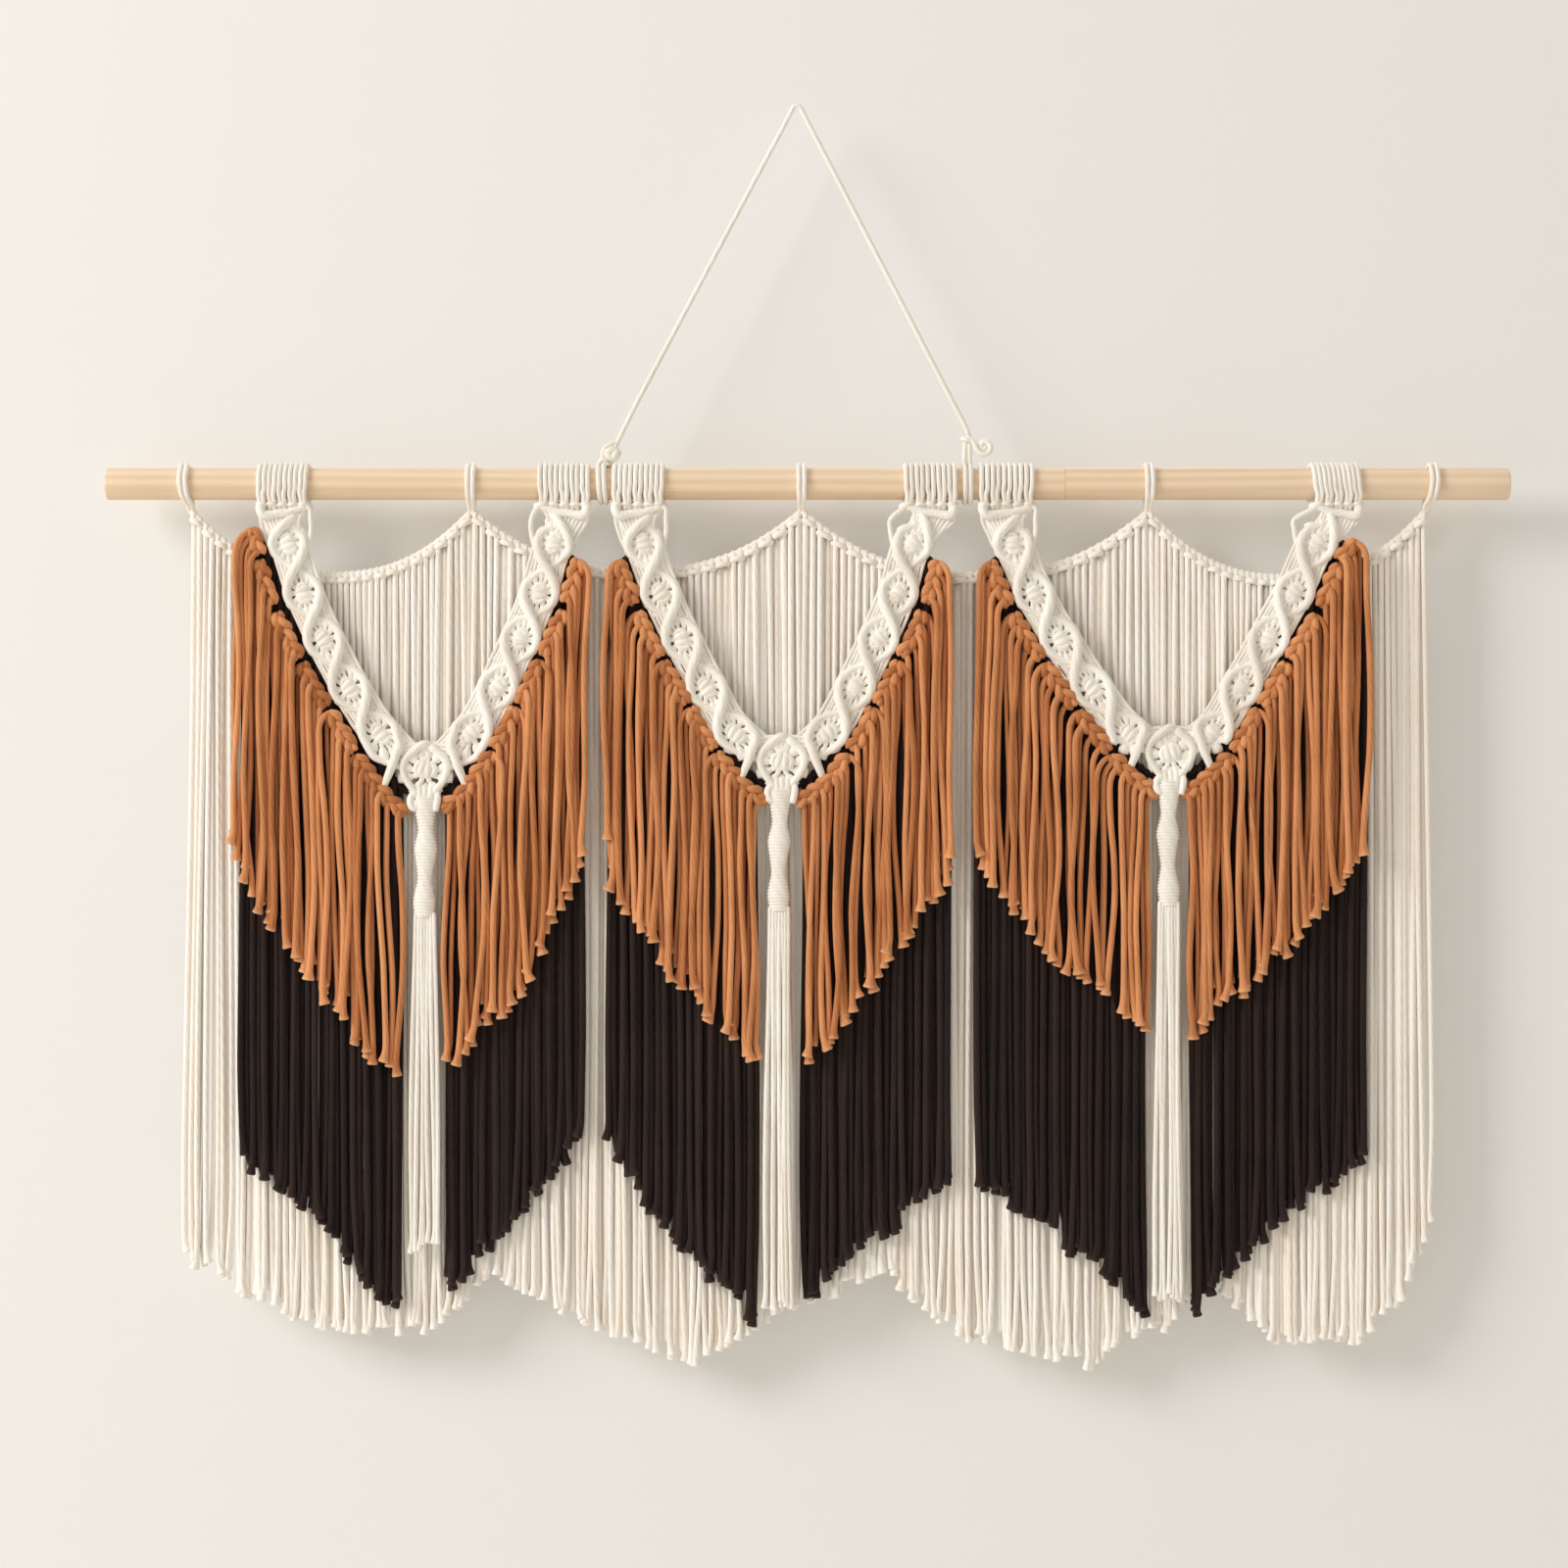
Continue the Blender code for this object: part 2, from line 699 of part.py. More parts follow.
def tassel_solid(number):
    """The tassel's head and its strands."""
    panel = PANELS[number]
    rng = random.Random(70 + number)
    half = TASSEL_WIDTH / 2
    strip = []
    for k in range(TASSEL_STRANDS + 1):
        share = k / TASSEL_STRANDS
        head_x = panel.pendant_x + mix(-6.0, 6.0, share)
        place = Vector((head_x, panel.tassel_z))
        strip.append(strip_section(place, Vector((0.0, -1.0)), 3.5, 3.0, TASSEL_Y, 4.0))
    strands = []
    for k in range(TASSEL_STRANDS):
        share = (k + 0.5) / TASSEL_STRANDS
        x = panel.pendant_x + mix(-half, half, share)
        wide = half / TASSEL_STRANDS - 0.35
        end_z = panel.end_z + rng.uniform(-UNEVEN, UNEVEN)
        strands.append(
            [
                ring_at(x, TASSEL_Y, panel.tassel_z - 26.0, wide, TASSEL_DEPTH / 2, -1.0),
                ring_at(x, TASSEL_Y, end_z, wide * 1.05, TASSEL_DEPTH / 2, -1.0),
            ]
        )
    return fringe_solid(strip, strands, 1)


def dowel_solid():
    radius = ROD_DIAMETER / 2
    half = ROD_LENGTH / 2
    sections = []
    for x, r in (
        (-half, radius - ROD_EASE),
        (-half + ROD_EASE, radius),
        (half - ROD_EASE, radius),
        (half, radius - ROD_EASE),
    ):
        turns = (2 * math.pi * k / ROD_SIDES for k in range(ROD_SIDES))
        sections.append([(x, r * math.cos(turn), r * math.sin(turn)) for turn in turns])
    return loft(sections)


def tie_foot(tie):
    """The two cords of a tie, drawn together under the rod down to the carrier."""
    top = ROD_Z - ROD_DIAMETER / 2 - 1.8
    bottom = tie.z + CARRIER / 2 + GAP
    sections = []
    for level, lean, half in ((top, 0.0, CORD * 0.8), (bottom, tie.lean, CORD * 0.9)):
        x = tie.x + lean
        sections.append(
            [
                (x - half, BACK_Y - 3.4, level),
                (x + half, BACK_Y - 3.4, level),
                (x + half, BACK_Y + 2.6, level),
                (x - half, BACK_Y + 2.6, level),
            ]
        )
    return loft(sections)


def hanger_points():
    """Evenly spaced points on a smooth curve through the hand-chosen route."""
    route = [Vector(p) for p in HANGER_ROUTE]
    knots = [0.0]
    for a, b in zip(route, route[1:]):
        knots.append(knots[-1] + (b - a).length)
    points = []
    for k in range(HANGER_POINTS):
        place, _ = curve_at(knots, route, knots[-1] * k / (HANGER_POINTS - 1))
        points.append((place.x, 0.0, place.y))
    return points


def add_hanger(material):
    data = bpy.data.curves.new("hanger_cord", "CURVE")
    data.dimensions = "3D"
    data.bevel_depth = CORD / 2 * MM
    data.bevel_resolution = 2
    data.use_fill_caps = True
    spline = data.splines.new("POLY")
    points = hanger_points()
    spline.points.add(len(points) - 1)
    for target, point in zip(spline.points, points):
        target.co = (*(Vector(point) * MM), 1.0)
    data.materials.append(material)
    obj = bpy.data.objects.new("hanger_cord", data)
    bpy.context.collection.objects.link(obj)
    return obj


def add_hitches(material):
    left = wrap_ring(HITCH_LEFT_X, 2 * CORD, 2, 12)
    knot_z = ROD_Z + ROD_DIAMETER / 2 + CORD + KNOT_BALL + 1.2
    knot = ball((HITCH_LEFT_X + 7.6, 0.0, knot_z), KNOT_BALL)
    lobe = ball((HITCH_LEFT_X + 0.8, -1.0, knot_z + 1.6), KNOT_BALL * 0.64, 6, 3)
    stem = tube(
        [
            (HITCH_LEFT_X + 1.0, 0.0, ROD_Z + 14.6),
            (HITCH_LEFT_X + 2.4, 0.0, knot_z - 6.5),
            (HITCH_LEFT_X + 5.2, 0.0, knot_z - 1.0),
        ],
        CORD * 0.9,
    )
    fuse(add_solid("hanger_hitch_left", left, material), [stem, knot, lobe])
    right = wrap_ring(HITCH_RIGHT_X, 2 * CORD, 2, 12)
    top = ROD_Z + 36.0
    neck = tube(
        [
            (HITCH_RIGHT_X, 0.0, ROD_Z + 14.6),
            (HITCH_RIGHT_X, 0.0, ROD_Z + 25.0),
            (HITCH_RIGHT_X + 0.6, 0.0, top),
        ],
        CORD * 0.95,
        8,
    )
    tail = tube(
        [
            (HITCH_RIGHT_X + 2.0, -1.0, top - 4.0),
            (HITCH_RIGHT_X + 8.0, -4.0, top - 9.5),
            (HITCH_RIGHT_X + 14.0, -5.0, top - 12.5),
            (HITCH_RIGHT_X + 19.5, -4.0, top - 10.0),
            (HITCH_RIGHT_X + 20.5, -2.5, top - 5.5),
            (HITCH_RIGHT_X + 16.5, -1.5, top - 2.6),
        ],
        CORD / 2,
    )
    fuse(add_solid("hanger_hitch_right", right, material), [neck, tail])


def build():
    clear_scene()
    wood = make_material("dowel wood", (0.79, 0.60, 0.39), 0.55)
    ivory = make_material("ivory cotton", (0.83, 0.76, 0.65), 0.9)
    rust = make_material("rust cotton", (0.53, 0.22, 0.08), 0.9)
    dark = make_material("dark cotton", (0.024, 0.013, 0.012), 0.9)

    add_solid("dowel", dowel_solid(), wood, (ROD_X, 0.0, ROD_Z))
    add_hanger(ivory)
    add_hitches(ivory)
    for number, tie in enumerate(TIES):
        loop = wrap_ring(tie.x, 2 * CORD, 2, 12)
        fuse(add_solid(f"tie_loop_{number + 1}", loop, ivory), [tie_foot(tie)])
    for number in range(len(TIES) - 1):
        add_solid(f"back_swag_{number + 1}", back_swag(number), ivory)
    for number in range(len(PANELS)):
        band = add_solid(f"band_{number + 1}", band_solid(number), ivory)
        arms = [arm for arm in ARMS if arm.panel == number]
        fuse(band, [wrap_ring(arm.heading, arm.width, 10, 8) for arm in arms])
        tassel = add_solid(f"tassel_{number + 1}", tassel_solid(number), ivory)
        fuse(tassel, [pendant_solid(number)])
    for number, arm in enumerate(ARMS):
        label = f"{arm.panel + 1}_{arm.side}"
        front = Layer(arm.first, arm.knots, RUST_STRAND, RUST_PITCH, True, 10 + number)
        fringe = side_fringe(arm, RUST_HEMS[number], RUST_STRANDS, front)
        add_solid(f"rust_fringe_{label}", fringe, rust)
        near = arm.knots - DARK_OFFSET
        behind = Layer(0.3, near, DARK_STRAND, DARK_PITCH, False, 20 + number)
        fringe = side_fringe(arm, DARK_HEMS[number], DARK_STRANDS, behind)
        add_solid(f"dark_fringe_{label}", fringe, dark)


build()
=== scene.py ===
# Macrame wall hanging on a wooden dowel: every cord and knot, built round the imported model.
# Sizes in the tables are in mm, in the model's own frame: +X right, -Y to the viewer, +Z up.
import math
import random
from collections import namedtuple

import bpy
import numpy as np
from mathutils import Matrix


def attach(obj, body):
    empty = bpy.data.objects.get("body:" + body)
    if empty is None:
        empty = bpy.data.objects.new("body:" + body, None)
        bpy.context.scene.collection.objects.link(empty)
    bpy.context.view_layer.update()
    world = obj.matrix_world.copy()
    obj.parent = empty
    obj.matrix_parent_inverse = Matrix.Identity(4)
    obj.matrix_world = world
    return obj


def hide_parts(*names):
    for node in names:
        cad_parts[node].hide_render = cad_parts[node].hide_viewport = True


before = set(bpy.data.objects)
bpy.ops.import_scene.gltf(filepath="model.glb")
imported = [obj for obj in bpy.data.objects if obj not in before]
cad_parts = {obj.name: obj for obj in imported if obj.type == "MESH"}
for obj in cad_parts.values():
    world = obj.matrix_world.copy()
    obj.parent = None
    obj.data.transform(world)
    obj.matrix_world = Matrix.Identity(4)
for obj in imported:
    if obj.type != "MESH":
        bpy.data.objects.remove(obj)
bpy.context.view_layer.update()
print("frame loaded:", len(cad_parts), "nodes")

mm = 0.001
mapName = "cordMap"  # along the cord in mm, and round it from 0 to 1


# Sweeping cords

def runAlong(path):
    # how far along the path each of its points lies
    return np.concatenate([[0], np.cumsum(np.linalg.norm(np.diff(path, axis=0), axis=1))])


def directions(path):
    along = np.gradient(path, axis=0)
    return along / np.linalg.norm(along, axis=1, keepdims=True)


def smoothPath(points, step=3.0):
    # evenly spaced points on a smooth curve through the given ones
    points = np.asarray(points, float)
    padded = np.vstack([2 * points[0] - points[1], points, 2 * points[-1] - points[-2]])
    t = np.linspace(0, 1, 12, endpoint=False)[:, None]
    fine = []
    for a, b, c, d in zip(padded, padded[1:], padded[2:], padded[3:]):
        bend = (2 * a - 5 * b + 4 * c - d) * t**2 + (3 * b - a - 3 * c + d) * t**3
        fine.append(0.5 * (2 * b + (c - a) * t + bend))
    fine = np.vstack(fine + [points[-1:]])
    run = runAlong(fine)
    even = np.linspace(0, run[-1], max(4, round(run[-1] / step) + 1))
    return np.stack([np.interp(even, run, fine[:, i]) for i in range(3)], -1)


def newBundle():
    return {"points": [], "quads": [], "map": [], "tone": [], "tip": [], "count": 0}


def carriedAlong(along):
    # a side direction at each point, carried along the path without turning about it
    side = np.empty_like(along)
    now = np.cross((0.0, 1.0, 0.0), along[0])
    if now @ now < 0.02:
        now = np.cross((1.0, 0.0, 0.0), along[0])
    for i, a in enumerate(along):
        now = now - a * (now @ a)
        now = now / math.sqrt(now @ now)
        side[i] = now
    return side


def addCord(bundle, path, radius, sides=8, flat=1.0, tone=0.0, cutEnd=False):
    # one closed tube; flat squeezes it in depth, and a cut end shows its paler core
    path = np.asarray(path, float)
    count = len(path)
    radius = np.atleast_1d(radius)  # a few sizes are spread evenly along the cord
    radius = np.interp(np.linspace(0, 1, count), np.linspace(0, 1, len(radius)), radius)
    along = directions(path)
    side = carriedAlong(along)
    front = np.cross(along, side)
    turn = 2 * math.pi * (np.arange(sides) + 0.5) / sides
    wide = (radius[:, None] * np.cos(turn))[:, :, None] * side[:, None]
    deep = (radius[:, None] * np.sin(turn) * flat)[:, :, None] * front[:, None]
    bundle["points"].append((path[:, None] + wide + deep).reshape(-1, 3))

    grid = bundle["count"] + np.arange(count * sides).reshape(count, sides)
    after = np.roll(grid, -1, axis=1)
    quads = np.stack([grid[:-1], after[:-1], after[1:], grid[1:]], -1).reshape(-1, 4)
    fan = [(0, k, k + 1, k + 2) for k in range(1, sides - 2, 2)]
    caps = [[grid[-1][i] for i in face] for face in fan]
    caps += [[grid[0][i] for i in face[::-1]] for face in fan]
    bundle["quads"].append(np.vstack([quads, caps]))

    run = runAlong(path)
    low, high = np.arange(sides) / sides, (np.arange(sides) + 1) / sides
    here, there = run[:-1, None] + 0 * low, run[1:, None] + 0 * low
    corners = [(here, low), (here, high), (there, high), (there, low)]
    places = [np.stack([u, v + 0 * u], -1) for u, v in corners]
    capPlaces = [np.full((len(fan), 4, 2), (r, 0.5)) for r in (run[-1], 0.0)]
    bundle["map"].append(np.concatenate([np.stack(places, 2).reshape(-1, 4, 2)] + capPlaces))

    left = run[-1] - run
    tip = np.clip(1 - left / 3.0, 0, 1) if cutEnd else 0 * left
    bundle["tip"].append(np.repeat(tip, sides))
    bundle["tone"].append(np.full(count * sides, tone))
    bundle["count"] += count * sides


def layCord(bundle, rand, points, step, radius, sides=8, flat=1.0):
    # a cord on a smooth curve, lighter or darker by chance
    addCord(bundle, smoothPath(points, step), radius, sides, flat, tone=rand.uniform(-1, 1))


def makePiece(name, bundle, material, nodes):
    # one mesh from all of a bundle's cords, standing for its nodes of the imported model
    mesh = bpy.data.meshes.new(name)
    quads = np.concatenate(bundle["quads"])
    mesh.from_pydata(np.concatenate(bundle["points"]) * mm, [], quads.tolist())
    layer = mesh.uv_layers.new(name=mapName)
    layer.uv.foreach_set("vector", np.concatenate(bundle["map"]).astype(np.float32).ravel())
    for key in ("tone", "tip"):
        values = mesh.attributes.new(key, "FLOAT", "POINT")
        values.data.foreach_set("value", np.concatenate(bundle[key]).astype(np.float32))
    mesh.shade_smooth()
    mesh.materials.append(material)
    piece = bpy.data.objects.new(name, mesh)
    bpy.context.collection.objects.link(piece)
    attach(piece, "root")
    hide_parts(*nodes)
    return piece


# Materials

def linear(hexColour):
    parts = [int(hexColour[i:i + 2], 16) / 255 for i in (1, 3, 5)]
    return [c / 12.92 if c <= 0.04045 else ((c + 0.055) / 1.055) ** 2.4 for c in parts] + [1.0]


def feed(tree, node, inputs):
    # each input gets a value, or a link from the socket that drives it
    for socket, value in inputs.items():
        if isinstance(value, bpy.types.NodeSocket):
            tree.links.new(value, node.inputs[socket])
        else:
            node.inputs[socket].default_value = value


def addNode(tree, kind, settings=None, inputs=None):
    node = tree.nodes.new("ShaderNode" + kind)
    for name, value in (settings or {}).items():
        setattr(node, name, value)
    feed(tree, node, inputs or {})
    return node


def mathNode(tree, operation, *inputs):
    return addNode(tree, "Math", {"operation": operation}, dict(enumerate(inputs))).outputs[0]


def ranged(tree, value, low, high, most=1.0):
    # 0 at the low value and most at the high one
    return addNode(tree, "MapRange", {"clamp": True}, {0: value, 1: low, 2: high, 4: most}).outputs[0]


def noise(tree, vector, scale, detail, roughness=0.5):
    return addNode(tree, "TexNoise", inputs={"Vector": vector, "Scale": scale, "Detail": detail,
                                             "Roughness": roughness}).outputs["Fac"]


def blended(tree, share, first, second):
    return addNode(tree, "Mix", {"data_type": "RGBA"}, {0: share, 6: first, 7: second}).outputs[2]


def newMaterial(name):
    material = bpy.data.materials.new(name)
    material.use_nodes = True
    return material, material.node_tree, material.node_tree.nodes["Principled BSDF"]


cottonLook = {
    "ivory": {"light": "#FFFBF3", "shade": "#F1E8DA", "cut": "#FFFDF8", "sheen": 0.15},
    # the back layer's copy of the ivory: its shaded end is paler, as painted light that lifts the
    # back strands and ties out of the shade they hang in
    "ivoryBackPaintedLight": {"light": "#FFFAF2", "shade": "#F8EEE0", "cut": "#FFFCF7", "sheen": 0.15},
    "rust": {"light": "#E39C66", "shade": "#B6703F", "cut": "#EEBB8C", "sheen": 0.10},
    "espresso": {"light": "#30201B", "shade": "#1A100E", "cut": "#46332B", "sheen": 0.03},
    "twistPitch": 13.0,  # mm along the cord for one turn of its yarns
    "yarns": 5,
    "fibre": 1.1,  # mm, drawn coarser than real cotton fibre so that it shows
    "fibresRound": 13.0,
    "dyePatches": 22.0,  # a metre
    "toneShare": 0.35,  # what a cord's own tone adds to its uneven dye, then fibre and yarn lines
    "fibreShare": 0.5,
    # painted shade: how much darker the colour gets in the grooves between the yarns
    "yarnGrooveShadeShare": 0.10,
    "range": (0.35, 1.15),  # from the shaded to the light colour
    "cutShare": 0.75,
}


def cottonCord(name, colours):
    # Combed cotton string, spun, lightly twisted and dyed: matt, with a soft fuzz that lifts
    # the edges, shallow diagonal lines from its yarns, with painted shade in the grooves
    # between them, and a slightly uneven dye.
    look = cottonLook
    material, tree, shader = newMaterial(name)
    place = addNode(tree, "UVMap", {"uv_map": mapName})
    split = addNode(tree, "SeparateXYZ", inputs={0: place.outputs[0]})
    tone = addNode(tree, "Attribute", {"attribute_name": "tone"}).outputs["Fac"]
    tip = addNode(tree, "Attribute", {"attribute_name": "tip"}).outputs["Fac"]

    turned = mathNode(tree, "MULTIPLY", split.outputs[0], 2 * math.pi / look["twistPitch"])
    phase = mathNode(tree, "MULTIPLY_ADD", split.outputs[1], 2 * math.pi * look["yarns"], turned)
    yarns = mathNode(tree, "SINE", phase)

    along = mathNode(tree, "MULTIPLY", split.outputs[0], 0.16 / look["fibre"])
    around = mathNode(tree, "MULTIPLY", split.outputs[1], look["fibresRound"])
    spun = addNode(tree, "CombineXYZ", inputs={0: along, 1: around, 2: tone})
    fibre = noise(tree, spun.outputs[0], 1.0, 3.0, 0.6)
    dye = noise(tree, addNode(tree, "TexCoord").outputs["Object"], look["dyePatches"], 2.0)

    # tone, dye, fibre and yarn lines together choose between the shaded and the light colour;
    # the yarn lines paint shade into the grooves between the yarns
    shown = mathNode(tree, "MULTIPLY_ADD", tone, look["toneShare"], dye)
    shown = mathNode(tree, "MULTIPLY_ADD", fibre, look["fibreShare"], shown)
    # painted shade: the colour darkens in the grooves between the yarns, where the bump dips
    shown = mathNode(tree, "MULTIPLY_ADD", yarns, look["yarnGrooveShadeShare"], shown)
    dyed = blended(tree, ranged(tree, shown, *look["range"]), linear(colours["shade"]),
                   linear(colours["light"]))
    paler = mathNode(tree, "MULTIPLY", tip, look["cutShare"])
    ended = blended(tree, paler, dyed, linear(colours["cut"]))

    relief = mathNode(tree, "MULTIPLY_ADD", yarns, 0.35, fibre)
    bump = addNode(tree, "Bump", inputs={"Height": relief, "Strength": 0.45, "Distance": 0.0005})
    feed(tree, shader, {
        "Base Color": ended,
        "Normal": bump.outputs[0],
        "Roughness": 0.88,
        "IOR": 1.53,  # cellulose
        "Specular IOR Level": 0.3,
        "Sheen Weight": colours["sheen"],
        "Sheen Roughness": 0.5,
    })
    return material


woodLook = {
    "light": "#F4DDC0",
    "dark": "#EAC9A4",
    "line": "#CFA474",
    "ring": 8.5,  # mm between growth rings
    "heart": (0.0, 0.022, 0.335),  # metres; puts the tree's heart below the rod and in front
    "stretch": (0.10, 1.0, 1.0),  # growth lines run ten times as far along the rod
    "waver": 7.0,
    "poreStretch": (0.012, 1.0, 1.0),
    "jointX": 210.0,  # where two lengths are finger-jointed end to end
    "jointStep": 0.011,  # metres that the grain jumps there
}


def sandedPine():
    # Pine dowel, turned and sanded, unvarnished: pale, with long soft growth lines, a satin
    # rather than matt face and a hairline where two lengths are glued end to end.
    look = woodLook
    light, dark, line = (linear(look[key]) for key in ("light", "dark", "line"))
    material, tree, shader = newMaterial("sandedPine")
    place = addNode(tree, "TexCoord").outputs["Object"]
    x = addNode(tree, "SeparateXYZ", inputs={0: place}).outputs[0]
    beyond = mathNode(tree, "GREATER_THAN", x, look["jointX"] * mm)
    shift = addNode(tree, "CombineXYZ", inputs={1: beyond, 2: beyond})
    shift = addNode(tree, "VectorMath", {"operation": "SCALE"},
                    {0: shift.outputs[0], "Scale": look["jointStep"]})
    moved = addNode(tree, "VectorMath", {"operation": "ADD"},
                    {0: place, 1: shift.outputs[0]}).outputs[0]
    laid = addNode(tree, "Mapping", inputs={"Vector": moved, "Location": look["heart"],
                                            "Scale": look["stretch"]})
    rings = addNode(tree, "TexWave",
                    {"wave_type": "RINGS", "rings_direction": "X", "wave_profile": "SIN"},
                    {"Vector": laid.outputs[0], "Scale": 0.32 / (look["ring"] * mm),
                     "Distortion": look["waver"], "Detail": 1.5, "Detail Scale": 0.42})
    pores = addNode(tree, "Mapping", inputs={"Vector": moved, "Scale": look["poreStretch"]})
    streaks = noise(tree, pores.outputs[0], 900.0, 3.0)
    broad = noise(tree, pores.outputs[0], 60.0, 2.0)
    grain = blended(tree, rings.outputs["Fac"], light, dark)
    grain = blended(tree, ranged(tree, streaks, 0.55, 0.8, 0.45), grain, line)
    grain = blended(tree, ranged(tree, broad, 0.35, 0.7, 0.45), grain, light)
    seam = mathNode(tree, "COMPARE", x, look["jointX"] * mm, 0.0004)
    grain = blended(tree, mathNode(tree, "MULTIPLY", seam, 0.5), grain, line)
    bump = addNode(tree, "Bump", inputs={"Height": streaks, "Strength": 0.15, "Distance": 0.0003})
    feed(tree, shader, {
        "Base Color": grain,
        "Normal": bump.outputs[0],
        "Roughness": 0.5,
        "IOR": 1.54,
        "Specular IOR Level": 0.35,
    })
    return material


ivory = cottonCord("ivoryCottonCord", cottonLook["ivory"])
# painted light: a paler copy of the ivory for the back strands and ties, to lift their shade
ivoryBackPaintedLight = cottonCord("ivoryCottonStrandsPaintedLight", cottonLook["ivoryBackPaintedLight"])
rust = cottonCord("rustCottonCord", cottonLook["rust"])
espresso = cottonCord("espressoCottonCord", cottonLook["espresso"])
pine = sandedPine()
print("materials made")


# Hanger: one length of cord over the nail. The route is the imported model's, in x and z.
hanger = {
    "radius": 2.0,
    "step": 4.0,
    "route": (
        (-141.3, -268.2), (-137.0, -259.4), (-124.0, -233.4), (-104.0, -195.6),
        (-84.0, -157.9), (-64.0, -120.2), (-44.0, -82.6), (-24.0, -45.0), (-11.0, -20.6),
        (-5.4, -9.8), (-2.9, -4.9), (-1.6, -2.9), (0.0, -2.1), (1.7, -2.9), (3.1, -5.0),
        (5.6, -10.0), (11.6, -21.6), (25.0, -47.4), (45.0, -86.0), (65.0, -124.6),
        (85.0, -163.2), (105.0, -201.9), (121.0, -232.9), (131.4, -252.8), (135.4, -262.8),
    ),
}
hangerPath = smoothPath([(x, 0.0, z) for x, z in hanger["route"]], hanger["step"])
bundle = newBundle()
addCord(bundle, hangerPath, hanger["radius"], sides=12)
hangerCord = makePiece("hangerCord", bundle, ivory, ["hanger_cord"])


# Camera: straight on, at the height of the middle of the picture
view = {
    "lens": 85.0,
    "sensor": 36.0,
    "frameWidth": 1227.2,  # mm across the picture at the knotted bands
    "aim": (-10.0, -8.0, -535.4),
}
camera = bpy.data.objects.new("camera", bpy.data.cameras.new("camera"))
camera.data.lens = view["lens"]
camera.data.sensor_width = view["sensor"]
distance = view["frameWidth"] * view["lens"] / view["sensor"]
camera.location = [c * mm for c in (view["aim"][0], view["aim"][1] - distance, view["aim"][2])]
camera.rotation_euler = (math.pi / 2, 0.0, 0.0)
bpy.context.collection.objects.link(camera)
bpy.context.scene.camera = camera
print("hanger and camera placed")


# Rod

rod = {"x": 8.5, "z": -300.0, "radius": 12.5, "length": 1100.0, "ease": 1.6, "sides": 64}


def makeDowel():
    half = rod["length"] / 2
    profile = [(-half, 0.0), (-half, rod["radius"] - rod["ease"])]
    profile += [(-half + rod["ease"] * (1 - math.cos(a)),
                 rod["radius"] - rod["ease"] * (1 - math.sin(a)))
                for a in np.linspace(0.25, 1.0, 4) * math.pi / 2]
    profile += [(x, rod["radius"]) for x in np.linspace(-half + 30, -30, 12)]
    profile += [(-x, r) for x, r in profile[::-1]]
    turn = 2 * math.pi * np.arange(rod["sides"]) / rod["sides"]
    points = []
    for x, r in profile[1:-1]:
        points += [(rod["x"] + x, r * math.cos(a), rod["z"] + r * math.sin(a)) for a in turn]
    rows = len(profile) - 2
    grid = np.arange(rows * rod["sides"]).reshape(rows, rod["sides"])
    after = np.roll(grid, -1, axis=1)
    faces = np.stack([grid[:-1], grid[1:], after[1:], after[:-1]], -1).reshape(-1, 4).tolist()
    faces += [grid[0].tolist(), grid[-1][::-1].tolist()]
    mesh = bpy.data.meshes.new("dowelRod")
    mesh.from_pydata(np.array(points) * mm, [], faces)
    mesh.shade_smooth()
    mesh.set_sharp_from_angle(angle=math.radians(40))
    mesh.materials.append(pine)
    piece = bpy.data.objects.new("dowelRod", mesh)
    bpy.context.collection.objects.link(piece)
    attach(piece, "root")
    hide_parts("dowel")


makeDowel()


def roundRod(x, start, stop, cord, gap=0.3, slant=0.0):
    # points of a cord round the rod, in degrees from the front, up over the top
    reach = rod["radius"] + gap + cord
    angles = np.radians(np.linspace(start, stop, max(4, int(abs(stop - start) / 15))))
    drift = slant * np.linspace(0, 1, len(angles))
    return np.stack([x + drift, -reach * np.cos(angles), rod["z"] + reach * np.sin(angles)], -1)


# Hanger's hitches

hitch = {
    "cord": 2.0,
    "left": -147.8,  # x of the first of two wraps, each one cord's width on from the last
    "right": 131.6,
    "pitch": 4.15,
    "ball": (-144.7, -0.5, -276.2),
    "ballTurns": ((0.55, -0.70, 0.45), (-0.75, -0.50, 0.40), (0.25, -0.60, -0.75)),
    "ballReach": 4.5,
}


def ringRound(centre, normal, reach, rise=0.0):
    # one turn about a centre, square to the normal, that climbs along it by rise
    normal = np.array(normal) / np.linalg.norm(normal)
    first = np.cross(normal, (0.0, 1.0, 0.0))
    first /= np.linalg.norm(first)
    second = np.cross(normal, first)
    t = np.linspace(0, 2 * math.pi, 22)[:, None]
    return np.array(centre) + reach * (first * np.cos(t) + second * np.sin(t)) + normal * (
        rise * (t / (2 * math.pi) - 0.5))


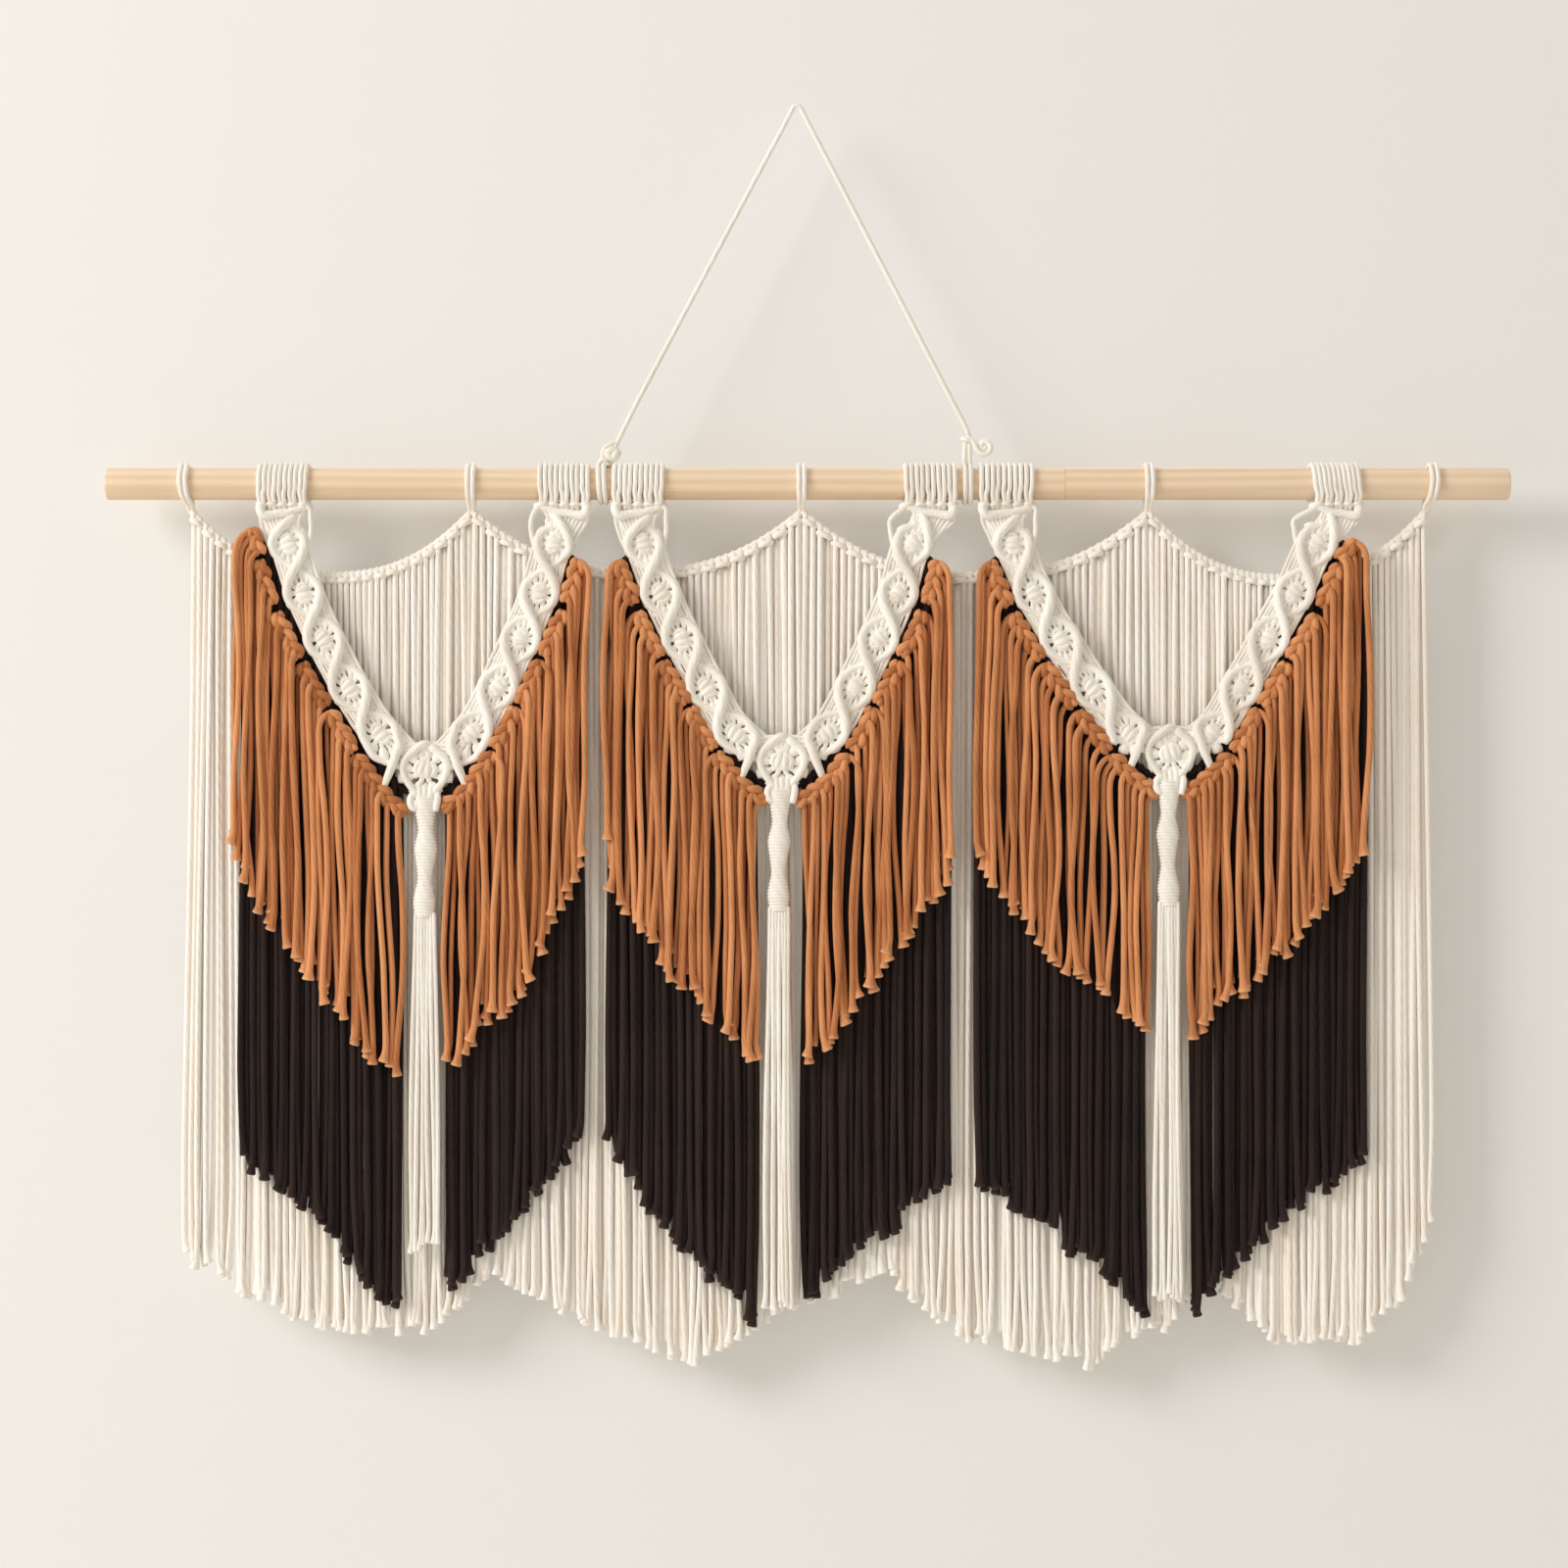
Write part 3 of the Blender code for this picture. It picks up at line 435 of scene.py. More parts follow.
def makeHitches():
    cord = hitch["cord"]
    bundle = newBundle()
    x = hitch["left"]
    ball = hitch["ball"]
    for lap in range(2):
        addCord(bundle, roundRod(x, 112 - 360, 112, cord, slant=-hitch["pitch"]), cord, 10)
        x -= hitch["pitch"]
    # an overhand knot drawn into a ball, with the hanger going into its top
    core = [(ball[0], ball[1], ball[2] + dz) for dz in (-4.5, -2.0, 2.0, 4.5)]
    addCord(bundle, core, (2.5, 4.0, 4.0, 2.5), 10)
    for normal in hitch["ballTurns"]:
        addCord(bundle, ringRound(ball, normal, hitch["ballReach"], 1.6), cord * 1.25, 10)
    into = [ball, (-142.6, 0.0, -270.9), (-140.2, 0.0, -266.0)]
    addCord(bundle, smoothPath(into, 1.5), (2.4, 2.4, 2.3, 1.7), 10)
    lobe = [(-148.0, -1.0, -281.5), (-151.4, -1.4, -279.6), (-152.2, -1.6, -275.8),
            (-150.2, -1.4, -271.6), (-146.6, -1.0, -269.0), (-143.2, -0.4, -267.8),
            (-141.2, 0.4, -269.6)]
    addCord(bundle, smoothPath(lobe, 2.0), cord, 10)
    for start in (x, x + 2 * hitch["pitch"]):
        path = [(start, 5.5, -286.3), (start + 1.0, 2.6, -284.0), (start + 2.8, 0.2, -281.0),
                (-148.0, -0.6, -278.0)]
        addCord(bundle, smoothPath(path, 1.5), cord, 10)
    makePiece("hangerHitchLeft", bundle, ivory, ["hanger_hitch_left"])

    bundle = newBundle()
    x = hitch["right"]
    for lap in range(2):
        addCord(bundle, roundRod(x, 100 - 360, 100, cord, slant=0.4), cord, 10)
        x += hitch["pitch"]
    x = hitch["right"]
    for shifts, top in (((0.0, 0.2, 0.8, 2.6), -263.6), ((4.1, 4.0, 4.0, 3.6), -262.0)):
        levels = ((-1.5, -286.0), (-1.0, -278.0), (-0.5, -268.0), (0.0, top))
        neck = [(x + shift, y, z) for shift, (y, z) in zip(shifts, levels)]
        addCord(bundle, smoothPath(neck), cord * 1.1, 10)
    turn = ringRound((0.0, 0.0, 0.0), (0.28, 0.0, 1.0), 1.0)
    addCord(bundle, turn * (4.2, 3.2, 4.2) + (x + 2.8, -0.6, -265.6), cord * 1.05, 10)
    # its tail turns down in a loop, with the end tucked in the middle
    tail = [(x + 3.0, -3.0, -265.0), (x + 6.6, -4.0, -266.8), (x + 8.8, -4.4, -271.4),
            (x + 11.6, -4.8, -275.6), (x + 15.8, -5.0, -277.0), (x + 19.6, -4.6, -274.4),
            (x + 20.0, -3.9, -269.8), (x + 16.6, -3.2, -267.0), (x + 12.8, -3.0, -268.8),
            (x + 13.4, -3.2, -272.4), (x + 16.2, -3.6, -272.4), (x + 16.4, -3.8, -270.6)]
    addCord(bundle, smoothPath(tail, 1.8), np.array((1.0, 1.1, 1.2, 1.2, 1.15)) * cord, 10)
    makePiece("hangerHitchRight", bundle, ivory, ["hanger_hitch_right"])


makeHitches()


# Ties and the back layer

tieRow = namedtuple("tieRow", "x lean z")
ties = (
    tieRow(-480.0, 4.0, -322.0),
    tieRow(-255.4, 0.0, -322.5),
    tieRow(3.8, 0.0, -322.5),
    tieRow(276.1, 0.0, -323.0),
    tieRow(498.6, -4.0, -322.0),
)

# How strands hang: their radius, how far they sway, how far they fall before a shoulder and for
# each mm of it, how much a cut end swells and how far it hooks aside, and their mesh's sides and
# the spacing of its rings
strandLook = namedtuple("strandLook", "radius sway start fall flare hook sides ring")

back = {
    "cord": 2.05,
    "strands": 46,
    "low": (-373.0, -370.0, -373.0, -375.0),  # lowest point of each carrier
    "belly": 2.4,  # higher is fuller towards the ties
    "depth": 5.0,
    "front": 3.2,
    "recessed": 5.0,  # depth of some of its strands
    "recessedShare": 0.2,
    "behind": 6.5,  # depth of another row that closes the gaps
    "carrier": 1.7,
    "roll": (-1.6, 1.5),  # how far the rope of knots is in front of the carrier and above it
    "rollCord": 2.5,
    "knotReach": 2.7,
    "knotCord": 2.45,
    "hem": (
        (-487, -890), (-458, -922), (-385, -962), (-300, -967), (-238, -922), (-160, -961),
        (-80, -988), (-5, -950), (65, -918), (149, -978), (228, -993), (286, -963),
        (322, -926), (390, -981), (440, -975), (480, -930), (500, -874),
    ),
    "uneven": 6.5,
    "drift": (7.0, 5.0),  # how far out the first and the last strand hang from their knots
    "drifting": 9,
    "look": strandLook(2.3, 1.5, 1.0, 1.2, 0.8, 3.0, 8, 14.0),
    "behindLook": strandLook(2.1, 1.0, 1.0, 1.2, 0.6, 3.0, 6, 28.0),
}


# lengths of a strand's end, in mm up from the cut
strandEnd = {
    "gather": 65.0,  # drawn aside to its neighbours
    "hook": 16.0,
    "loose": 9.0,  # the yarns open over this length, and the fibres puff out over the next
    "puff": 4.0,
    "cut": 0.82,  # the width of the cut itself, as a share of what it would be
    "fine": 26.0,  # has rings closer together, at the heights below
    "rings": (24, 17, 12, 8.5, 6, 4, 2.4, 1, 0),
    "fewRings": (22, 9, 4, 0),
}


def addStrand(bundle, look, root, top, place, end, y, rand):
    # from its knot over a shoulder, down to the x where it hangs, and to a flared, cut end that
    # is drawn aside to its neighbours' ends
    over = top - root[0]
    fall = look.fall * abs(over) + look.start
    bend = np.linspace(0, math.pi / 2, 6)[:-1]
    shoulder = np.stack([root[0] + over * np.sin(bend), root[1] + (y - root[1]) * np.sin(bend),
                         root[2] - fall * (1 - np.cos(bend))], -1)
    drop = root[2] - fall - end[1]
    steps = np.arange(0, drop - strandEnd["fine"], look.ring)
    last = strandEnd["rings" if look.sides > 6 else "fewRings"]
    down = np.concatenate([steps, drop - np.array(last)])
    share = down / drop
    left = drop - down
    across = top + (place - top) * share
    across += (end[0] - place) * np.clip(1 - left / strandEnd["gather"], 0, 1) ** 1.4
    swing = rand.uniform(2.5, 6.0), rand.uniform(0, 6.3)
    loose = np.minimum(1, down / 50) * np.minimum(1, 0.35 + left / 120)
    across += look.sway * (np.sin(share * swing[0] + swing[1]) - math.sin(swing[1])) * loose
    across += look.hook * rand.uniform(-1, 1) * np.clip(1 - left / strandEnd["hook"], 0, 1) ** 2
    depth = y + 0.5 * look.sway * np.sin(share * rand.uniform(2, 5) + swing[1]) * loose
    radius = look.radius * rand.uniform(0.93, 1.06)
    flare = look.flare * rand.uniform(0.7, 1.3)
    swell = 1 + flare * (0.45 * np.exp(-left / strandEnd["loose"])
                         + 0.55 * np.exp(-((left / strandEnd["puff"]) ** 2)))
    swell[-1] *= strandEnd["cut"]
    path = np.vstack([shoulder, np.stack([across, depth, root[2] - fall - down], -1)])
    swell = np.concatenate([np.ones(len(shoulder)), swell])
    addCord(bundle, path, radius * swell, look.sides, tone=rand.uniform(-1, 1), cutEnd=True)


def gatherEnds(places, rand, pull, uneven):
    # neighbouring ends drawn together in twos and threes, nearly level; x and the change in z
    ends = []
    while len(ends) < len(places):
        group = places[len(ends):len(ends) + rand.choice((1, 2, 2, 3, 3))]
        middle = sum(group) / len(group)
        level = rand.uniform(-1, 1) * uneven
        for place in group:
            x = place + (middle - place) * pull * rand.uniform(0.6, 1.0)
            ends.append((x, level + rand.uniform(-1.2, 1.2)))
    return ends


def carrierLevel(number, share):
    left, right = ties[number], ties[number + 1]
    peak = left.z + (right.z - left.z) * share
    sag = back["low"][number] - (left.z + right.z) / 2
    return peak + sag * (1 - abs(2 * share - 1) ** back["belly"])


def larksHead(bundle, centre, rise, cord, reach, spread, rand):
    # the bar of a lark's head, across the front of its carrier and back under it
    x, y, z = centre
    bar = [(x - spread, y + reach, z - rise - 1.6), (x - spread - 0.5, y - 0.5, z - rise - 3.2),
           (x - spread * 0.8, y - reach - 0.6, z - rise * 0.7 - 2.9),
           (x, y - reach - 1.5, z - 2.7),
           (x + spread * 0.8, y - reach - 0.6, z + rise * 0.7 - 2.9),
           (x + spread + 0.5, y - 0.5, z + rise - 3.2), (x + spread, y + reach, z + rise - 1.6)]
    layCord(bundle, rand, bar, 1.8, cord)


def makeBackSwag(number):
    rand = random.Random(140 + number)
    left, right = ties[number], ties[number + 1]
    start = left.x + left.lean
    stop = right.x + right.lean
    bundle = newBundle()
    shares = np.linspace(0, 1, 60)
    line = [(start + (stop - start) * s, back["depth"], carrierLevel(number, s)) for s in shares]
    addCord(bundle, smoothPath(line, 4.0), back["carrier"], 8)
    # the knots' upper turns, packed side by side, read as one rope along the top
    roll = smoothPath([(x, y + back["roll"][0], z + back["roll"][1]) for x, y, z in line], 1.6)
    lumps = 0.3 * np.sin(2 * math.pi * (roll[:, 0] - start) * back["strands"] / (stop - start))
    addCord(bundle, roll, back["rollCord"] + lumps, 10, tone=0.3)

    count = back["strands"]
    reach = back["knotReach"]
    hemX = [p[0] for p in back["hem"]]
    hemZ = [p[1] for p in back["hem"]]
    places = [start + (stop - start) * (k + 0.5) / count for k in range(count)]
    for k in range(back["drifting"]):
        out = 1 - (k + 0.5) / back["drifting"]
        if number == 0:
            places[k] -= back["drift"][0] * out
        if number == len(ties) - 2:
            places[-1 - k] += back["drift"][1] * out
    ends = gatherEnds(places, rand, 0.6, back["uneven"])
    pitch = (stop - start) / count
    for k in range(count):
        share = (k + 0.5) / count
        x = start + (stop - start) * share
        z = carrierLevel(number, share)
        slope = (carrierLevel(number, share + 0.01) - carrierLevel(number, share - 0.01)) / (
            0.02 * (stop - start))
        # the strand's top, behind its carrier, over it and down the front behind the bar
        wrap = [(x, back["depth"] - reach * math.cos(a), z + reach * math.sin(a))
                for a in np.radians(np.arange(200, -46, -35))]
        layCord(bundle, rand, wrap, 1.8, back["knotCord"])
        if k % 2 == 0:
            middle = (x + pitch / 2, back["depth"], z + slope * pitch / 2)
            larksHead(bundle, middle, slope * pitch * 0.5, back["knotCord"], reach, pitch * 0.72,
                      rand)
        layer = "recessed" if rand.random() < back["recessedShare"] else "front"
        y = back[layer] + rand.uniform(-0.7, 0.7)
        low = np.interp(places[k], hemX, hemZ) + ends[k][1]
        root = (x, back["depth"] - 1.5, z - 2.0)
        addStrand(bundle, back["look"], root, x, places[k], (ends[k][0], low), y, rand)
        if k + 1 < count:
            between = (places[k] + places[k + 1]) / 2
            root = (x + pitch / 2, back["depth"] + 2.0, z - 2.0)
            end = (between + rand.uniform(-1.5, 1.5), low + rand.uniform(0, 9))
            addStrand(bundle, back["behindLook"], root, root[0], between, end, back["behind"],
                      rand)
    makePiece(f"backSwag{number + 1}", bundle, ivoryBackPaintedLight,
              [f"back_swag_{number + 1}"])


def makeTie(number):
    tie = ties[number]
    bundle = newBundle()
    cord = back["cord"]
    knotX = tie.x + tie.lean
    for side in (-1, 1):
        top = roundRod(tie.x + side * 2.1, 0, 180, cord)
        under = tie.x + tie.lean * 0.4 + side * 1.9
        before = [(knotX + side * 1.0, back["depth"] - 1.5, tie.z + 1.0),
                  (knotX + side * 1.3, back["depth"] - 6.0, tie.z + 5.5),
                  (under, -11.8, rod["z"] - 10.0)]
        after = [(under, 12.0, rod["z"] - 9.0),
                 (knotX + side * 1.0, back["depth"] + 2.0, tie.z + 3.0)]
        addCord(bundle, smoothPath(before + list(top) + after, 2.5), cord, 8, tone=side * 0.5)
    makePiece(f"tieLoop{number + 1}", bundle, ivoryBackPaintedLight, [f"tie_loop_{number + 1}"])


for number in range(len(ties) - 1):
    makeBackSwag(number)
for number in range(len(ties)):
    makeTie(number)
print("back layer made")


# Knotted bands: the line of each V, and places beside it

panelRow = namedtuple("panelRow", "x z pendantX tasselZ endZ")
panels = (
    panelRow(-290.7, -525.4, -290.7, -640.0, -898.0),
    panelRow(-11.5, -519.3, -13.8, -635.0, -943.0),
    panelRow(292.2, -512.4, 290.7, -631.0, -936.0),
)
# lean is how far the heading's cords shift from the top of the rod to its foot; knots is added
# to the rust knots' distance from the band
armRow = namedtuple("armRow", "panel side heading width lean top middle low knots")
arms = (
    armRow(0, "left", -402.3, 40.6, 0.6, -398.0, -370.0, -326.0, 2.6),
    armRow(0, "right", -181.8, 41.4, -0.8, -190.0, -216.0, -255.0, -0.5),
    armRow(1, "left", -124.3, 41.4, 0.6, -120.0, -90.0, -48.0, -0.5),
    armRow(1, "right", 104.7, 42.2, -0.6, 91.0, 64.0, 24.0, 0.6),
    armRow(2, "left", 163.8, 43.7, 0.8, 169.0, 206.0, 260.0, -0.8),
    armRow(2, "right", 423.5, 38.0, -3.4, 407.0, 369.0, 324.0, 0.0),
)

band = {
    "diamonds": 5,
    "levels": (-347.0, -386.0, -422.0, -460.0, -496.0),
    "bar": -322.5,
    "barEnd": -328.0,
    "barUnit": 0.3,
    "back": -5.5,  # depth that its heights are counted from
    "belly": 12.8,  # half the spacing of the ridge cords across a diamond
    "unit": 0.0265,  # of a diamond for each mm along the band
    "ridge": 3.4,
    "ridgeStart": -0.16,  # in diamonds from the bar, where the ridge cords come up from under it
    "ridgeDip": 4.2,
    "ridgeRise": 0.34,
    "ridgeOver": 0.45,  # how much thicker a ridge cord looks where it lies on top
    "ridgeHeight": 4.6,
    "crossing": 2.1,  # how far one ridge cord climbs over the other
    "firstCrossing": 0.15,  # in diamonds below the bar
    "headCord": 1.98,
    "pair": 1.35,  # half the spacing of a pair of heading cords at the foot of the rod
}
# where the ridge cords go under an arm's last diamond, from the middle of the V's own diamond;
# out is away from that middle
foot = {
    "outer": ((40.5, 12.0), (33.0, 8.0), (25.5, 5.4), (20.0, 3.6), (17.0, 1.0)),
    "inner": ((20.4, 20.5), (22.8, 13.0), (25.0, 6.0), (27.8, -1.2), (31.0, -9.0),
              (32.8, -15.5)),
    "ring": ((0.5, 21.2), (5.2, 18.8), (11.0, 14.0), (15.6, 9.0), (17.4, 3.4), (16.4, -2.6),
             (13.8, -8.0), (10.0, -13.4), (5.5, -18.0)),
    "leaves": {"outer": 4.42, "inner": 4.62},  # where they leave the arm, in diamonds
    "height": 4.6,
    "netWide": 17.8,
    "netTall": 14.8,
    "shift": -1.6,  # of its net and knot, from the middle of the line
    "grow": 1.22,
}
chain = 2 * band["diamonds"] + 1


def bandLine(panel):
    # a dense walk down one arm and up the other, one unit for each diamond
    points = []
    for arm in (a for a in arms if a.panel == panel):
        one = [(arm.heading, band["bar"]), (arm.heading, band["barEnd"])]
        # a parabola through the arm's x at the first, third and fifth diamond
        for k, level in enumerate(band["levels"]):
            x = arm.top * (k - 2) * (k - 4) / 8 - arm.middle * k * (k - 4) / 4
            one.append((x + arm.low * k * (k - 2) / 8, level))
        points.append(one)
    points = points[0] + [(panels[panel].x, panels[panel].z)] + points[1][::-1]
    points = np.array(points)
    knots = [-band["barUnit"], 0.0] + [k + 0.5 for k in range(chain)]
    knots = np.array(knots + [chain, chain + band["barUnit"]])
    slopes = np.gradient(points, axis=0) / np.gradient(knots)[:, None]
    slopes[1:-1] = (points[2:] - points[:-2]) / (knots[2:] - knots[:-2])[:, None]
    u = np.linspace(knots[0], knots[-1], 1200)
    i = np.clip(np.searchsorted(knots, u) - 1, 0, len(knots) - 2)
    span = (knots[i + 1] - knots[i])[:, None]
    t = (u[:, None] - knots[i][:, None]) / span
    place = points[i] * (2 * t**3 - 3 * t**2 + 1) + slopes[i] * span * (t**3 - 2 * t**2 + t)
    place += points[i + 1] * (3 * t**2 - 2 * t**3) + slopes[i + 1] * span * (t**3 - t**2)
    along = directions(place)
    return {"u": u, "x": place[:, 0], "z": place[:, 1], "outX": along[:, 1], "outZ": -along[:, 0]}


def beside(line, u, out, height):
    # places beside the band's middle: out is to the V's outer side, height towards the viewer
    u = np.asarray(u, float)
    x, z, outX, outZ = (np.interp(u, line["u"], line[key]) for key in ("x", "z", "outX", "outZ"))
    return np.stack([x + outX * out, band["back"] - height + 0 * x, z + outZ * out], -1)


lines = [bandLine(panel) for panel in range(len(panels))]


def onArm(arm, u, out, height):
    # the same, with u counted from the arm's own bar
    u = np.asarray(u, float)
    return beside(lines[arm.panel], u if arm.side == "left" else chain - u, out, height)


def outerSide(arm):
    return -1 if arm.side == "left" else 1


def opening(u):
    # how far the ridges stand apart, and the phase of their waves, which starts late at the bar
    near = np.minimum(u, chain - u)
    late = 0.5 / (0.5 - band["firstCrossing"])
    phase = np.where(near > 0.5, near, 0.5 - (0.5 - near) * late)
    phase = np.where(u < chain / 2, phase, chain - phase)
    wave = np.sin(np.pi * phase)
    return band["belly"] * np.sign(wave) * np.abs(wave) ** 0.9, phase


def atFoot(panel, side, points, heights):
    # points of the foot table on one side of a V
    x, z = panels[panel].x, panels[panel].z
    return [(x + side * out, band["back"] - height, z + up)
            for (out, up), height in zip(points, heights)]


def addRidges(bundle, arm):
    # two thick cords that cross between diamonds; one goes on round the V's own diamond and the
    # other over it to a short tail
    start, dip, rise = band["ridgeStart"], band["ridgeDip"], band["ridgeRise"]
    for sign, key in ((1, "outer"), (-1, "inner")):
        table = foot[key]
        u = np.arange(start, foot["leaves"][key], 0.055)
        out, phase = opening(u)
        height = band["ridgeHeight"] + band["crossing"] * (sign * np.cos(np.pi * phase))
        height -= dip * np.clip(1 - (u - start) / rise, 0, 1)
        path = onArm(arm, u, sign * out, 0.0)
        path[:, 1] -= height
        last = foot["height"] - 2.2 if sign > 0 else foot["height"] + 1.8
        levels = np.linspace(height[-1], last, 3)[1:]
        levels = list(levels) + [last] * (len(table) - 2)
        if sign < 0:
            levels[-2:] = [last - 1.0, last - 5.0]
        path = smoothPath(list(path) + atFoot(arm.panel, outerSide(arm), table, levels), 2.0)
        lift = -path[:, 1] + band["back"] - band["ridgeHeight"]
        thick = band["ridge"] + band["ridgeOver"] * np.clip(lift / band["crossing"], -1, 1)
        if sign < 0:
            thick = thick * np.interp(np.arange(len(path)), (len(path) - 12, len(path)), (1, 0.72))
        addCord(bundle, path, thick, 12, flat=0.92, tone=0.4 * sign)


net = {
    "wide": 12.3,  # from the middle to the ridges, across the band and along it
    "tall": 16.6,
    "spokes": 12,
    # along each cord: shares of the way out, heights, and shares of the space to its neighbours
    "shares": (0.20, 0.46, 0.54, 0.62, 0.70, 0.90, 1.22),
    "heights": (4.4, 4.4, 4.1, 3.9, 3.7, 3.0, 1.4),
    "widths": (1.2, 1.2, 1.1, 1.02, 1.14, 1.2, 0.85),
    "hole": 0.72,  # how far the cords narrow at each small hole
    "holeAt": 0.61,
    "holeWidth": 0.055,
}


def addNet(bundle, arm, k, rand):
    # flat cords that run out from the square knot to the ridges, and touch but for a ring of
    # small holes
    middle = k + 0.5
    wide, tall, shift = net["wide"], net["tall"], 0.0
    if k == band["diamonds"]:
        wide, tall, shift = foot["netWide"], foot["netTall"], foot["shift"]
    shares = net["shares"]
    step = 2 * math.pi / net["spokes"]
    for n in range(net["spokes"]):
        angle = step * (n + 0.5 + rand.uniform(-0.12, 0.12))
        along, out = tall * math.sin(angle), wide * math.cos(angle)
        half = math.hypot(wide * math.sin(angle), tall * math.cos(angle)) * step / 2
        path = [onArm(arm, middle + share * along * band["unit"], share * out + shift, height)
                for share, height in zip(shares, net["heights"])]
        path = smoothPath(path, 1.0)
        at = np.linspace(shares[0], shares[-1], len(path))
        radius = half * at * np.interp(at, shares, net["widths"])
        narrow = np.exp(-(((at - net["holeAt"]) / net["holeWidth"]) ** 2))
        radius -= net["hole"] * narrow * rand.uniform(0.6, 1.2)
        addCord(bundle, path, radius, 8, flat=0.62, tone=rand.uniform(-1, 1))


def addCushion(bundle, arm, k, rand):
    # a square knot drawn tight into a low pad: filling cords, and wraps that cross them
    middle = k + 0.5
    grow, shift = (1.0, 0.0) if k != band["diamonds"] else (foot["grow"], foot["shift"])
    turn = rand.uniform(-0.3, 0.3)

    def laid(points):
        return [onArm(arm, middle + (down + turn * out) * band["unit"] * grow,
                      (out - turn * down) * grow + shift, up) for down, out, up in points]

    pad = laid([(-6.6, 0, 3.0), (-4.6, 0, 4.2), (0, 0, 4.6), (4.6, 0, 4.2), (6.6, 0, 3.0)])
    sizes = np.array((3.0, 5.2, 6.1, 6.1, 6.1, 5.2, 3.0)) * grow
    layCord(bundle, rand, pad, 1.4, sizes, 16, flat=0.42)
    for side in (-1, 1):
        lobe = laid([(side * 2.6, -3.4, 4.0), (side * 5.4, -2.6, 4.7), (side * 6.4, 0, 4.8),
                     (side * 5.2, 2.8, 4.7), (side * 2.4, 3.4, 4.0)])
        layCord(bundle, rand, lobe, 1.4, 2.1 * grow, 10)
    for along, way in ((-2.4, 1), (2.2, -1)):
        lean = rand.uniform(0.2, 0.7) * way
        wrap = laid([(along - lean, -5.4, 3.6), (along - 0.7 * lean, -4.0, 5.2),
                     (along, 0, 5.9), (along + 0.7 * lean, 4.0, 5.2),
                     (along + lean, 5.4, 3.6)])
        layCord(bundle, rand, wrap, 1.4, np.array((1.6, 2.5, 2.6, 2.5, 1.6)) * grow, 10,
                flat=0.75)


def addSideStrands(bundle, arm, k, rand):
    # straight cords along both edges, from one diamond's ridge to the next
    edges = [(-1, (14.5, 11.9, 9.3, 6.7))]
    if k < band["diamonds"]:
        edges.append((1, (13.2, 10.4, 7.6)))
    for side, offsets in edges:
        for out in offsets:
            half = 0.5 * (out / (band["belly"] + 2.5)) ** 0.8 - 0.02
            bend = rand.uniform(-0.5, 0.5)
            path = [onArm(arm, k + s * half, side * (out + bend * (1 - s * s)), 2.6)
                    for s in (-1, -0.5, 0, 0.5, 1)]
            layCord(bundle, rand, path, 3.0, rand.uniform(1.4, 1.55))


def underRod(x, y, down):
    return (x, y, rod["z"] - down)


